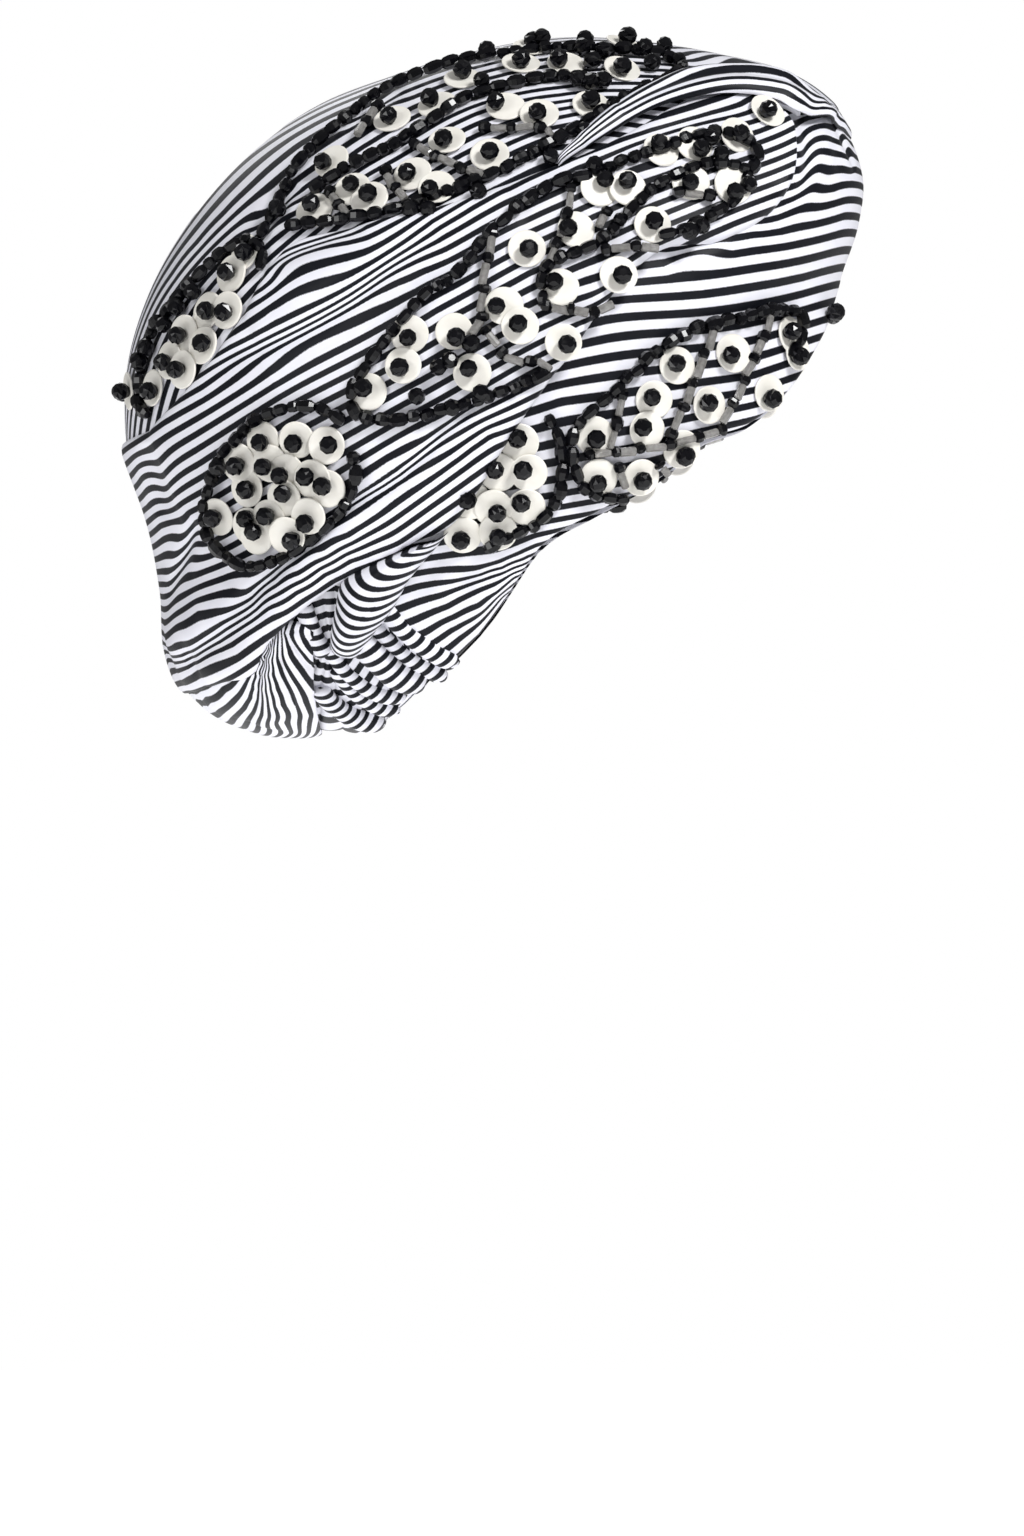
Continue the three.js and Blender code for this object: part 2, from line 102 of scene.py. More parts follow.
# Wraps: each section is low along, low up, high along, high up. Sink is how far a rolled edge
# goes under, and rolls are the widths of the low, high, first and last edge's roll, in mm.
# Cut is the flat size of the cloth in metres.
WRAPS = {
    "front_band": dict(
        layout="strip", layer=0, steps=(420, 110), rolls=(3, 0, 0, 0),
        sink=0, cut=(0.10, 0.38), held="gathered", rests_on=["nape_gather_cloth"], sections=[
            (44.4, 10.0, 33.4, 17.6), (49.4, 15.6, 41.0, 36.0), (56.0, 26.0, 49.2, 46.6),
            (63.8, 31.2, 57.8, 56.5), (72.3, 36.2, 66.2, 66.0), (77.7, 41.2, 73.4, 75.6),
            (83.6, 43.6, 79.5, 84.0), (89.0, 48.6, 85.4, 88.0), (93.4, 56.2, 90.7, 89.4),
            (96.0, 63.1, 95.2, 89.1)]),
    "nape_gather": dict(
        layout="cap", layer=0, steps=(150, 220), rolls=(0, 0, 0, 4),
        sink=0, cut=(0.11, 0.14), held="gathered", rests_on=["front_band_cloth"], sections=[
            (21.0, 18.0, 22.0, 1.4), (25.5, 22.5, 26.5, 0.9), (29.0, 24.0, 30.6, 0.8),
            (32.0, 22.5, 32.0, 0.6), (35.4, 17.8, 32.8, 0.6), (39.6, 13.4, 33.2, 0.7),
            (43.6, 9.8, 33.8, 0.8)]),
    "crown_wrap": dict(
        layout="cap", layer=1, steps=(300, 150), rolls=(0, 0, 4, 0),
        sink=0, cut=(0.16, 0.30), held="folded", rests_on=["front_band_cloth"], sections=[
            (90.4, 88.0, 95.5, 88.0), (80.9, 89.7, 92.0, 91.1), (70.5, 84.0, 83.6, 95.3),
            (58.5, 77.7, 70.5, 98.4), (44.1, 73.0, 50.5, 97.9), (31.6, 69.9, 30.6, 91.1),
            (23.9, 66.8, 16.0, 81.2), (20.6, 61.4, 9.3, 73.4), (14.9, 54.1, 4.0, 64.3),
            (11.3, 48.0, 0.7, 51.6), (6.9, 41.7, 0.0, 45.9), (6.2, 38.8, 0.8, 41.0)]),
    "back_pouch": dict(
        layout="cap", layer=1, steps=(130, 170), rolls=(3, 3, 0, 6),
        sink=0, cut=(0.08, 0.10), held="gathered", rests_on=["nape_gather_cloth"], sections=[
            (18.4, 15.2, 7.8, 10.0), (19.8, 15.4, 10.2, 5.8), (21.3, 15.6, 12.8, 2.9),
            (23.0, 15.6, 16.9, 0.4), (24.6, 15.2, 22.3, 0.1), (26.0, 14.2, 27.6, 1.4)]),
    "under_roll": dict(
        layout="pair", layer=1, steps=(120, 60), rolls=(7, 7, 0, 6),
        sink=0.7, cut=(0.03, 0.055), held="folded", rests_on=["nape_gather_cloth"], sections=[
            (43.8, 28.2, 39.9, 26.2), (41.8, 25.4, 34.9, 24.4), (38.7, 21.6, 29.9, 21.6),
            (36.7, 17.9, 28.9, 17.7), (34.0, 14.0, 28.3, 13.8), (31.9, 10.2, 28.2, 11.0)]),
    "side_wrap": dict(
        layout="strip", layer=2, steps=(400, 118), rolls=(7, 5, 4, 0),
        sink=[4] * 6 + [3] + [0.7] * 7, cut=(0.11, 0.52), held="folded",
        rests_on=["crown_wrap_cloth"], sections=[
            (89.8, 85.7, 87.1, 91.0), (88.4, 75.6, 82.7, 91.6), (80.9, 70.2, 76.1, 90.4),
            (71.8, 68.2, 69.1, 86.2), (63.8, 59.3, 62.5, 82.6), (56.9, 49.0, 55.1, 79.4),
            (51.6, 40.7, 44.1, 75.0), (44.5, 29.2, 31.6, 71.9), (37.2, 25.3, 21.9, 68.9),
            (27.9, 19.9, 16.0, 58.9), (20.3, 13.0, 9.3, 49.6), (18.0, 8.3, 4.3, 43.8),
            (13.4, 7.1, 3.0, 42.6), (10.2, 6.9, 2.5, 41.7)]),
    "top_roll": dict(
        layout="strip", layer=3, steps=(260, 60), rolls=(6, 6, 4, 0),
        sink=0.7, cut=(0.025, 0.21), held="folded", rests_on=["crown_wrap_cloth"], sections=[
            (58.5, 80.8, 58.0, 81.9), (65.4, 85.2, 64.4, 88.4), (71.8, 88.8, 70.8, 92.6),
            (79.6, 90.8, 78.8, 95.4), (87.1, 90.2, 87.8, 94.4), (91.9, 88.2, 93.4, 91.2),
            (96.6, 84.0, 96.0, 88.6)]),
}

# Folds: layer that they start from, width and height in shares of the fold sizes, and their path
FOLDS = [
    (2, 0.9, 0.30, [(79.8, 71.0), (70.5, 66.8), (63.6, 57.9), (56.2, 48.0), (50.5, 40.3),
        (44.1, 30.4)]),
    (2, 1.5, 0.25, [(17.3, 57.2), (27.9, 62.9), (41.2, 68.5), (53.2, 73.4)]),
    (2, 1.2, -0.15, [(20.0, 50.8), (30.6, 57.2), (41.2, 61.4)]),
    (2, 1.0, 0.30, [(26.6, 22.6), (20.6, 16.9), (14.0, 10.6), (10.6, 8.9)]),
    (2, 1.0, 0.25, [(14.6, 21.2), (8.6, 13.4), (6.6, 9.9)]),
    (3, 0.9, 0.35, [(61.2, 84.2), (69.1, 89.4), (77.1, 92.8), (84.4, 93.2), (91.1, 90.6),
        (95.7, 87.2)]),
    (1, 0.9, 0.40, [(39.4, 24.0), (35.2, 20.9), (31.6, 16.2), (29.5, 11.3)]),
    (0, 0.7, 0.20, [(89.8, 86.9), (91.2, 82.6), (90.4, 78.7), (88.4, 74.9), (87.0, 71.6)]),
    (0, 0.7, 0.20, [(92.6, 87.6), (95.2, 84.0), (96.5, 79.5)]),
    (0, 0.6, 0.30, [(34.6, 19.1), (39.4, 14.1), (44.5, 10.2)]),
    (0, 0.6, 0.25, [(30.6, 10.6), (34.0, 7.1), (37.2, 4.2)]),
    (1, 0.7, 0.20, [(22.6, 12.7), (15.3, 7.1), (12.0, 4.2)]),
    (1, 0.7, 0.20, [(22.6, 12.0), (20.6, 4.9), (19.3, 1.4)]),
]

# Creases: finer folds of the cloth walls, with how far each draws the stripes together
CREASES = [
    (2, 0.42, -0.24, 0.95, [(10.4, 51.8), (17.3, 54.4), (23.9, 57.2), (30.6, 61.4), (36.6, 66.4),
        (42.6, 69.9)]),
    (2, 0.34, -0.18, 0.8, [(19.7, 66.0), (22.6, 67.8), (27.9, 69.9), (33.0, 71.2)]),
    (2, 0.24, -0.24, 0.6, [(14.0, 15.5), (18.6, 20.5), (23.9, 25.4), (30.6, 31.8), (37.2, 36.0),
        (43.9, 43.1), (48.6, 47.6)]),
    (2, 0.50, 0.12, 0.0, [(24.0, 23.6), (30.6, 29.4), (37.8, 33.4), (44.5, 40.0)]),
    (2, 0.34, -0.16, 0.6, [(5.3, 18.4), (6.9, 23.0), (8.6, 27.0), (9.8, 29.4)]),
    (2, 0.40, -0.16, 0.7, [(8.4, 11.0), (12.6, 13.2), (17.3, 16.4), (19.3, 19.4), (22.6, 23.6)]),
    (2, 0.34, -0.10, 0.7, [(5.0, 11.6), (8.6, 10.2), (11.4, 11.6), (15.0, 13.6)]),
    (2, 0.60, -0.12, 0.4, [(3.2, 41.0), (4.0, 36.0), (4.2, 30.4)]),
    (2, 0.40, -0.12, 0.5, [(61.5, 79.2), (68.5, 83.4), (76.0, 86.6), (84.0, 88.0)]),
    (2, 0.45, -0.12, 0.5, [(62.0, 56.4), (66.4, 63.0), (71.6, 66.6)]),
    (1, 0.45, -0.16, 0.2, [(9.4, 74.4), (12.6, 79.4), (16.6, 84.4), (21.0, 87.2)]),
    (1, 0.34, -0.16, 0.7, [(17.6, 69.0), (20.6, 73.6), (23.9, 77.4)]),
    (1, 0.34, -0.10, 0.7, [(30.0, 85.0), (33.4, 88.0), (37.4, 90.8)]),
    (1, 0.40, -0.12, 0.5, [(74.0, 92.6), (81.0, 93.6), (88.0, 93.4)]),
    (3, 0.32, -0.28, 0.45, [(66.0, 88.0), (72.0, 91.4), (79.6, 93.4), (87.6, 92.6), (93.4, 89.6)]),
    (0, 0.34, -0.20, -0.4, [(89.6, 88.0), (90.9, 84.0), (90.9, 80.0), (89.8, 76.4), (86.4, 73.0)]),
    (0, 0.34, -0.18, -0.4, [(93.9, 86.6), (95.9, 83.0), (97.4, 80.0)]),
    (0, 0.40, 0.14, 0.0, [(87.6, 87.6), (88.6, 83.4), (88.6, 79.0), (87.0, 75.4)]),
    (0, 0.40, 0.14, 0.0, [(92.0, 87.6), (93.0, 84.0), (94.0, 79.0)]),
    (0, 0.30, -0.12, 0.6, [(71.6, 66.8), (76.0, 68.6), (80.6, 70.0)]),
    (0, 0.35, -0.16, 0.5, [(43.0, 19.6), (50.0, 22.6), (56.2, 26.4)]),
    (0, 0.40, 0.15, 0.0, [(44.5, 14.6), (50.0, 20.4), (55.6, 25.6)]),
    (0, 0.30, -0.12, 0.5, [(47.6, 14.2), (51.0, 19.0), (55.0, 25.0)]),
]

# Rolls of the nape gather: radius in mm, shift of the stripes, and the line of the middle
GATHER_ROLLS = [
    (3.4, 0.1, [(24.6, 18.4), (25.4, 15.8), (26.4, 13.2), (27.8, 11.0)]),
    (4.2, 0.3, [(26.6, 6.6), (28.6, 4.2), (31.6, 2.4), (35.2, 1.4)]),
    (2.9, 0.8, [(28.8, 9.4), (31.0, 6.4), (34.2, 4.2), (37.2, 3.2)]),
    (5.6, 0.2, [(29.8, 14.8), (32.8, 12.2), (36.4, 9.0), (40.4, 6.8)]),
    (3.0, 0.5, [(33.2, 15.8), (36.8, 12.4), (40.2, 9.8), (43.4, 8.0)]),
    (2.9, 0.0, [(27.6, 12.4), (30.2, 9.2), (34.0, 6.8), (38.2, 5.2)]),
    (3.3, 0.6, [(34.8, 18.6), (38.0, 15.2), (41.4, 12.5), (44.9, 10.0)]),
]

# Stripe guides: number of the dark stripe and the places that its middle passes
STRIPES = {
    "front_band": [
        (0, [(98.9, 73.6), (90.4, 71.5), (83.8, 70.3), (77.4, 69.1), (70.5, 68.2)]),
        (3, [(96.1, 66.2), (90.4, 64.4), (83.8, 62.9), (77.0, 61.7), (70.6, 61.2), (63.8, 60.6)]),
        (8, [(83.8, 50.4), (77.1, 49.4), (70.6, 48.4), (63.8, 47.3), (58.5, 46.6)]),
        (13, [(70.6, 36.0), (63.8, 34.6), (58.5, 33.6), (51.9, 32.5)]),
        (15, [(63.8, 31.1), (58.5, 30.1), (50.5, 28.5), (42.6, 26.8)]),
        (18, [(53.5, 24.3), (47.9, 22.2), (39.9, 20.8)]),
        (21, [(52.4, 21.9), (47.9, 18.4), (41.2, 14.8)]),
        (24, [(51.4, 18.7), (49.2, 15.1), (44.9, 10.9)]),
        (-2, [(99.5, 77.8), (94.4, 77.0), (90.4, 75.8), (85.1, 73.9)]),
        (-4, [(97.1, 81.9), (92.4, 81.5), (87.8, 79.0), (85.1, 77.5)]),
        (-7, [(95.5, 87.1), (92.0, 87.1), (89.1, 86.3), (86.7, 84.0)])],
    "crown_wrap": [
        (0, [(1.1, 54.4), (2.7, 60.7), (6.0, 67.8), (10.6, 74.9), (16.0, 81.2), (23.9, 87.1),
            (30.6, 90.4)]),
        (1.5, [(37.2, 92.0), (43.9, 94.6), (50.5, 96.2)]),
        (3, [(4.3, 60.0), (10.6, 69.5), (17.3, 77.0), (23.9, 83.2), (30.6, 87.1), (37.2, 90.4),
            (43.9, 93.1), (50.5, 95.1), (63.8, 96.8), (74.5, 95.9)]),
        (6, [(7.3, 60.0), (13.3, 67.8), (18.9, 72.5), (23.9, 76.1), (30.6, 81.2), (37.2, 85.7),
            (43.9, 89.4), (50.5, 91.8), (58.5, 93.4), (69.1, 93.9), (75.8, 93.6)]),
        (9, [(14.0, 62.9), (22.6, 71.0), (29.3, 76.1), (37.2, 81.2), (43.9, 85.7), (50.5, 88.6),
            (58.5, 90.1), (66.5, 90.8)]),
        (12, [(29.3, 71.6), (37.2, 76.1), (43.9, 80.5), (50.5, 84.0), (57.2, 86.6), (63.8, 88.0)]),
        (15, [(42.6, 74.9), (50.5, 79.0), (57.2, 82.6)]),
        (5, [(81.8, 95.8), (89.1, 93.2), (94.4, 88.6)])],
    "side_wrap": [
        (0, [(18.9, 63.6), (21.3, 66.7), (23.9, 68.2), (30.6, 69.9), (37.2, 73.4), (41.2, 76.0)]),
        (4, [(12.2, 53.2), (17.3, 56.8), (23.9, 60.7), (30.6, 63.8), (37.2, 67.4), (43.9, 71.6),
            (50.5, 76.1), (58.5, 80.4), (66.5, 84.7), (74.5, 87.1), (82.4, 89.1)]),
        (7, [(6.0, 43.9), (10.6, 46.6), (17.3, 50.7), (23.9, 54.9), (30.6, 58.5), (37.2, 62.6),
            (43.6, 66.0), (50.5, 70.2), (58.5, 74.4), (66.5, 78.4), (75.8, 81.8), (83.8, 84.7)]),
        (11, [(4.7, 34.6), (10.6, 38.0), (17.3, 42.5), (23.9, 46.8), (30.6, 50.4), (37.2, 54.1),
            (43.9, 58.3), (50.5, 62.4), (58.5, 66.8), (66.5, 70.6), (74.5, 74.2), (82.4, 77.7)]),
        (14, [(4.3, 29.0), (10.6, 31.8), (23.9, 40.3), (37.2, 47.9), (50.5, 55.8), (58.5, 60.0),
            (63.8, 62.9)]),
        (18, [(5.3, 20.5), (10.6, 24.2), (23.9, 31.1), (30.6, 35.3), (37.2, 39.7), (43.9, 43.8),
            (50.5, 48.0)]),
        (22, [(5.6, 13.4), (10.6, 17.1), (17.3, 19.1), (23.9, 23.3), (30.6, 27.5), (37.2, 32.3),
            (43.9, 37.4), (49.2, 41.7)]),
        (25, [(6.0, 9.9), (10.6, 10.7), (17.3, 14.8), (23.9, 19.8), (30.6, 24.0), (37.2, 26.4)])],
    "back_pouch": [
        (0, [(10.6, 4.9), (14.6, 7.1), (18.0, 9.9), (19.9, 12.7)]),
        (2.2, [(14.6, 1.4), (17.6, 4.2), (18.9, 7.1), (19.7, 10.6)]),
        (4.4, [(18.9, 0.3), (20.2, 3.5), (19.9, 7.1), (19.7, 11.3)]),
        (6.6, [(22.6, 0.3), (21.9, 4.9), (20.9, 9.2), (20.6, 12.7)]),
        (8.6, [(25.3, 2.8), (23.9, 7.1), (21.9, 11.3), (21.7, 13.4)]),
        (10.6, [(27.7, 5.6), (25.5, 9.5), (23.7, 12.0), (22.3, 14.1)])],
}

# Outer strings of beads, one for each leaf-shaped field, with the layer of cloth that carries it
STRINGS = {
    "crown": (1, [
        (18.9, 70.2), (20.7, 74.9), (24.6, 81.9), (29.7, 86.9), (34.7, 91.0), (41.8, 94.3),
        (48.4, 96.0), (55.1, 96.9), (63.8, 97.1), (70.5, 96.6), (74.6, 95.1), (72.5, 92.6),
        (66.9, 90.0), (62.2, 86.6), (56.6, 83.2), (51.6, 80.2), (44.1, 76.8), (34.7, 73.4),
        (27.0, 72.2), (22.3, 71.6)]),
    "back": (1, [
        (18.8, 65.5), (18.9, 68.3), (17.6, 69.6), (15.3, 69.0), (11.4, 65.7), (6.9, 60.2),
        (4.2, 56.4), (2.8, 50.7), (2.7, 46.8), (4.0, 45.4)]),
    "side": (2, [
        (57.2, 50.8), (50.3, 47.5), (44.1, 45.6), (36.4, 43.8), (31.4, 44.8), (31.0, 48.5),
        (33.9, 53.4), (39.4, 60.6), (45.1, 64.8), (49.7, 70.9), (57.2, 77.4), (63.3, 79.4),
        (70.5, 82.4), (75.5, 84.2), (80.0, 85.2), (83.4, 84.0), (84.8, 81.8), (83.8, 79.0),
        (81.2, 74.9), (75.8, 71.4), (71.8, 70.0)]),
    "drop": (2, [
        (29.7, 43.6), (26.3, 45.6), (22.6, 45.8), (17.4, 43.4), (13.6, 38.8), (11.3, 32.1),
        (12.0, 27.4), (14.8, 24.2), (18.5, 23.2), (23.3, 25.3), (27.9, 29.2), (30.9, 34.0),
        (30.9, 39.4)]),
    "low": (0, [
        (56.9, 44.6), (58.2, 41.5), (58.9, 36.6), (57.0, 30.9), (53.1, 28.1), (48.4, 25.8)]),
    "temple": (0, [
        (67.4, 32.9), (63.6, 33.2), (60.6, 36.2), (60.0, 40.3), (61.6, 44.2), (65.2, 47.7),
        (71.3, 53.7), (76.3, 56.9), (82.4, 58.6), (87.2, 59.6), (90.2, 59.2), (90.4, 56.8),
        (88.8, 53.2)]),
}

# Inner strings of black beads alone
DARK_VEINS = {
    "crown": [[(25.4, 76.6), (29.3, 79.4), (35.5, 82.6), (40.3, 86.0), (46.4, 90.1), (55.1, 92.8),
        (63.8, 92.5)]],
    "side": [[(56.0, 60.2), (56.9, 65.8), (64.2, 69.8), (70.7, 77.0), (77.7, 80.5), (84.0, 79.8)]],
}

# Inner strings, where black beads take turns with clear bugles
VEINS = {
    "crown": [
        [(38.7, 83.5), (42.6, 81.2), (48.4, 78.5)],
        [(47.6, 85.5), (53.1, 85.5), (56.2, 85.6), (58.1, 83.5)],
        [(34.7, 89.3), (33.2, 87.3), (31.8, 84.3)],
        [(27.8, 76.6), (30.5, 73.2)],
        [(35.1, 79.8), (36.3, 77.7), (37.9, 75.3)]],
    "side": [
        [(64.0, 68.1), (71.4, 68.4)],
        [(56.0, 60.2), (62.0, 59.2), (65.7, 60.2)],
        [(46.7, 54.7), (48.0, 57.3), (51.6, 52.8), (57.2, 50.8)],
        [(49.7, 70.9), (48.8, 66.2), (48.0, 57.9)],
        [(60.0, 77.5), (59.6, 73.3), (58.0, 68.6), (56.9, 65.8)],
        [(64.9, 74.0), (63.7, 71.6)],
        [(73.8, 76.4), (77.7, 76.3), (79.3, 75.6)]],
    "temple": [
        [(86.4, 60.7), (86.0, 58.3), (83.4, 51.0), (79.9, 43.8)],
        [(79.4, 58.1), (77.4, 53.0), (74.7, 45.9), (72.7, 41.2)],
        [(66.9, 48.6), (65.8, 42.9), (65.2, 40.0)],
        [(66.1, 37.9), (66.9, 34.3)],
        [(71.5, 37.9), (72.7, 36.4)],
        [(61.8, 39.1), (66.1, 39.4), (72.2, 40.5), (76.3, 41.5), (80.3, 42.9)]],
}

# Larger round beads that stand beside the strings
ROUND_BEADS = {
    "crown": [
        (48.8, 96.9), (54.9, 98.2), (61.8, 98.4), (61.4, 97.3), (64.2, 96.8), (69.7, 97.3),
        (72.3, 97.6), (70.7, 95.1), (62.8, 95.3), (60.9, 92.5), (62.5, 92.2), (64.2, 92.5),
        (66.0, 88.4), (61.8, 85.3), (48.1, 92.4), (47.7, 76.4), (38.7, 73.9), (41.0, 73.9),
        (57.3, 81.5), (20.9, 74.4)],
    "side": [
        (80.1, 82.1), (83.8, 77.8), (75.8, 70.9), (77.5, 71.6), (46.7, 54.7), (43.9, 52.4),
        (42.3, 51.4), (39.4, 47.2), (44.1, 45.6), (48.0, 47.7), (63.2, 80.6), (78.7, 84.3)],
    "back": [(9.8, 62.4), (7.7, 60.3), (6.1, 57.8), (3.7, 54.7), (2.8, 52.8)],
    "temple": [(94.9, 59.7), (75.3, 39.1)],
    "drop": [(13.0, 37.3)],
}

# Sequins: middle as along and up, and how far its bead sits off it, in bead widths
SEQUINS = {
    "crown": [
        (36.4, 86.6, -0.2, 0.2), (42.3, 88.6, -0.4, 0.4), (45.6, 92.4, 0.0, 0.5),
        (53.3, 94.6, 0.0, 0.2), (59.2, 94.5, -0.4, 0.3), (54.7, 96.8, 0.9, 0.5),
        (51.3, 88.3, -0.6, 0.3), (55.7, 87.1, -0.1, 0.1), (62.5, 88.6, 0.0, 0.3),
        (43.6, 83.5, -0.2, 0.1), (49.2, 81.4, 0.0, 0.2), (39.1, 78.7, -0.3, 0.1),
        (31.2, 76.6, -0.1, 0.3), (33.5, 75.1, -0.1, 0.3), (42.3, 76.7, -0.5, -0.2),
        (28.5, 80.6, -0.5, 0.0), (26.2, 73.6, -0.2, 0.4), (66.6, 93.8, 0.0, 0.1),
        (66.9, 97.6, 0.2, -0.4)],
    "back": [
        (15.3, 64.8, -0.3, 0.1), (17.2, 67.7, 0.0, 0.0), (12.1, 59.6, -0.1, 0.0),
        (14.8, 59.6, -0.2, -0.1), (9.2, 56.4, -0.4, -0.1), (11.8, 54.7, -0.1, 0.1),
        (7.3, 52.7, -0.4, -0.1), (9.3, 51.3, -0.4, 0.0), (4.9, 48.9, -0.1, -0.3),
        (1.7, 48.6, 0.0, 0.0)],
    "side": [
        (54.1, 68.1, 0.1, 0.0), (51.1, 60.0, -0.4, 0.0), (53.2, 57.2, -0.1, 0.1),
        (38.6, 56.1, -0.1, -0.2), (44.5, 56.4, 0.1, -0.3), (37.8, 51.6, -0.2, -0.1),
        (46.9, 50.6, -0.2, 0.2), (33.2, 47.9, -0.3, 0.2), (60.6, 70.9, -0.4, 0.1),
        (63.7, 76.8, 0.3, 0.5), (67.4, 76.8, 0.0, 0.4), (70.7, 71.6, 0.1, 0.2),
        (58.5, 62.7, -0.3, 0.3), (66.2, 64.4, 0.2, 0.0), (58.9, 54.8, 0.2, -0.1),
        (71.9, 82.3, -0.1, 0.4), (76.2, 83.1, 0.4, -0.3), (81.9, 84.5, 0.2, 0.1),
        (81.4, 77.4, 0.1, -0.5), (75.8, 77.8, 0.0, 0.0), (85.9, 88.0, -0.4, -0.4)],
    "drop": [
        (19.3, 41.1, -0.2, -0.1), (23.8, 41.2, -0.2, -0.2), (27.7, 40.4, 0.1, 0.0),
        (16.2, 38.1, -0.2, -0.2), (20.5, 38.0, -0.4, -0.2), (22.6, 36.7, -0.4, -0.2),
        (25.9, 35.7, -0.4, 0.1), (27.8, 34.3, -0.3, 0.1), (17.3, 34.5, -0.1, -0.1),
        (22.3, 33.1, -0.1, 0.2), (13.3, 30.5, -0.3, -0.1), (17.4, 29.1, -0.2, 0.4),
        (20.2, 30.2, -0.2, 0.1), (18.6, 27.8, -0.2, 0.2), (25.4, 30.5, -0.2, -0.4),
        (22.6, 27.8, 0.2, -0.3)],
    "low": [
        (53.1, 40.8, -0.1, 0.2), (50.4, 36.7, -0.2, 0.1), (54.3, 36.7, -0.3, 0.1),
        (54.0, 31.9, -0.3, 0.2), (49.7, 31.8, 0.2, -0.3), (46.8, 32.8, -0.2, 0.0),
        (45.7, 28.0, -0.1, -0.3), (50.3, 28.5, 0.0, -0.3)],
    "temple": [
        (88.7, 56.2, 0.1, 0.2), (81.1, 53.5, -0.1, -0.1), (73.7, 51.7, 0.0, 0.1),
        (70.7, 46.9, -0.1, 0.1), (77.9, 46.2, 0.0, 0.1), (85.8, 48.0, 0.2, -0.3),
        (69.7, 42.7, -0.2, 0.1), (62.9, 41.8, 0.1, -0.2), (63.4, 35.9, 0.0, -0.3),
        (69.0, 36.0, 0.1, -0.2), (74.3, 40.0, 0.2, -0.4), (89.4, 53.8, -0.1, -0.5)],
}


def side_place(along, up):
    """Millimetres of a side place: its share of the length and height, less the seat's."""
    x = (np.asarray(along, float) - SEAT[0]) / 100 * LENGTH
    z = (np.asarray(up, float) - SEAT[1]) / 100 * HEIGHT
    return x, z


MIDDLE_X, MIDDLE_Z = side_place(*MIDDLE)


def outline_rays():
    """Angle and reach of the outline from the ball's middle, by angle, wrapped past both ends."""
    x, z = side_place(*np.array(OUTLINE).T)
    angle = np.arctan2(z - MIDDLE_Z, x - MIDDLE_X)
    reach = np.hypot(x - MIDDLE_X, z - MIDDLE_Z)
    order = np.argsort(angle)
    angle, reach = angle[order], reach[order]
    turn = 2 * math.pi
    angle = np.concatenate([angle[-2:] - turn, angle, angle[:3] + turn])
    reach = np.concatenate([reach[-2:], reach, reach[:3]])
    slope = np.zeros_like(reach)
    slope[1:-1] = (reach[2:] - reach[:-2]) / (angle[2:] - angle[:-2])
    return angle, reach, slope


RAY_ANGLE, RAY_REACH, RAY_SLOPE = outline_rays()


def reach_at(angle):
    """Reach of the outline at an angle: a cubic between the two nearest rays, with their slopes."""
    index = np.clip(np.searchsorted(RAY_ANGLE, angle, side="right") - 1, 1, len(RAY_ANGLE) - 3)
    span = RAY_ANGLE[index + 1] - RAY_ANGLE[index]
    t = (angle - RAY_ANGLE[index]) / span
    return ((2 * t**3 - 3 * t**2 + 1) * RAY_REACH[index]
            + (t**3 - 2 * t**2 + t) * span * RAY_SLOPE[index]
            + (-2 * t**3 + 3 * t**2) * RAY_REACH[index + 1]
            + (t**3 - t**2) * span * RAY_SLOPE[index + 1])


def on_ball(places, height, parting=0.0):
    """Unit ball points that carry side places seen at a height over the hollow: spread over the
    outline's reach and height, with depth from the circle, at least the parting's."""
    places = np.asarray(places, float)
    x, z = side_place(places[..., 0], places[..., 1])
    angle = np.arctan2(z - MIDDLE_Z, x - MIDDLE_X)
    spread = np.minimum(np.hypot(x - MIDDLE_X, z - MIDDLE_Z) / (reach_at(angle) + height), 1)
    depth = np.maximum(np.sqrt(1 - spread**2), parting / HOLLOW_WIDTH)
    spread = np.sqrt(1 - depth**2)
    return np.stack([spread * np.cos(angle), -depth, spread * np.sin(angle)], -1)


def face_height(layer):
    """Height of a layer's outer face over the hollow."""
    return layer * LAYER_STEP + CLOTH


def unit(vectors):
    """The vectors at length one."""
    return vectors / np.linalg.norm(vectors, axis=-1, keepdims=True)


def on_hollow(ball):
    """Point and outward direction of the hollow: the ball stretched by the outline's reach."""
    ball = unit(ball)
    reach = reach_at(np.arctan2(ball[..., 2], ball[..., 0]))
    half = HOLLOW_WIDTH / 2
    point = np.stack([MIDDLE_X + reach * ball[..., 0], half * ball[..., 1],
                      MIDDLE_Z + reach * ball[..., 2]], -1)
    outward = np.stack([ball[..., 0] / reach, ball[..., 1] / half, ball[..., 2] / reach], -1)
    return point, unit(outward)


def smooth_curve(points, shares):
    """Catmull-Rom curve through the points, at shares from 0 to 1 of its pieces."""
    points = np.asarray(points, float)
    padded = np.concatenate([2 * points[:1] - points[1:2], points, 2 * points[-1:] - points[-2:-1]])
    place = np.clip(np.asarray(shares, float), 0, 1) * (len(points) - 1)
    index = np.minimum(place.astype(int), len(points) - 2)
    t = (place - index)[:, None]
    a, b, c, d = (padded[index + k] for k in range(4))
    return 0.5 * (2 * b + (c - a) * t + (2 * a - 5 * b + 4 * c - d) * t**2
                  + (3 * b - a - 3 * c + d) * t**3)


def hollow_line(path, layer, parts):
    """Smooth line along the hollow through a path, with so many parts to each piece of it."""
    shares = np.linspace(0, 1, (len(path) - 1) * parts + 1)
    return on_hollow(smooth_curve(on_ball(path, face_height(layer)), shares))[0]


# Every fold and crease: layer, width, height, pinch and its line
RIDGES = [(layer, width * FOLD_WIDTH, height * FOLD_HEIGHT, pinch, hollow_line(path, layer, 3))
          for layer, width, height, pinch, path in [(*row[:3], 0.0, row[3]) for row in FOLDS] + CREASES]


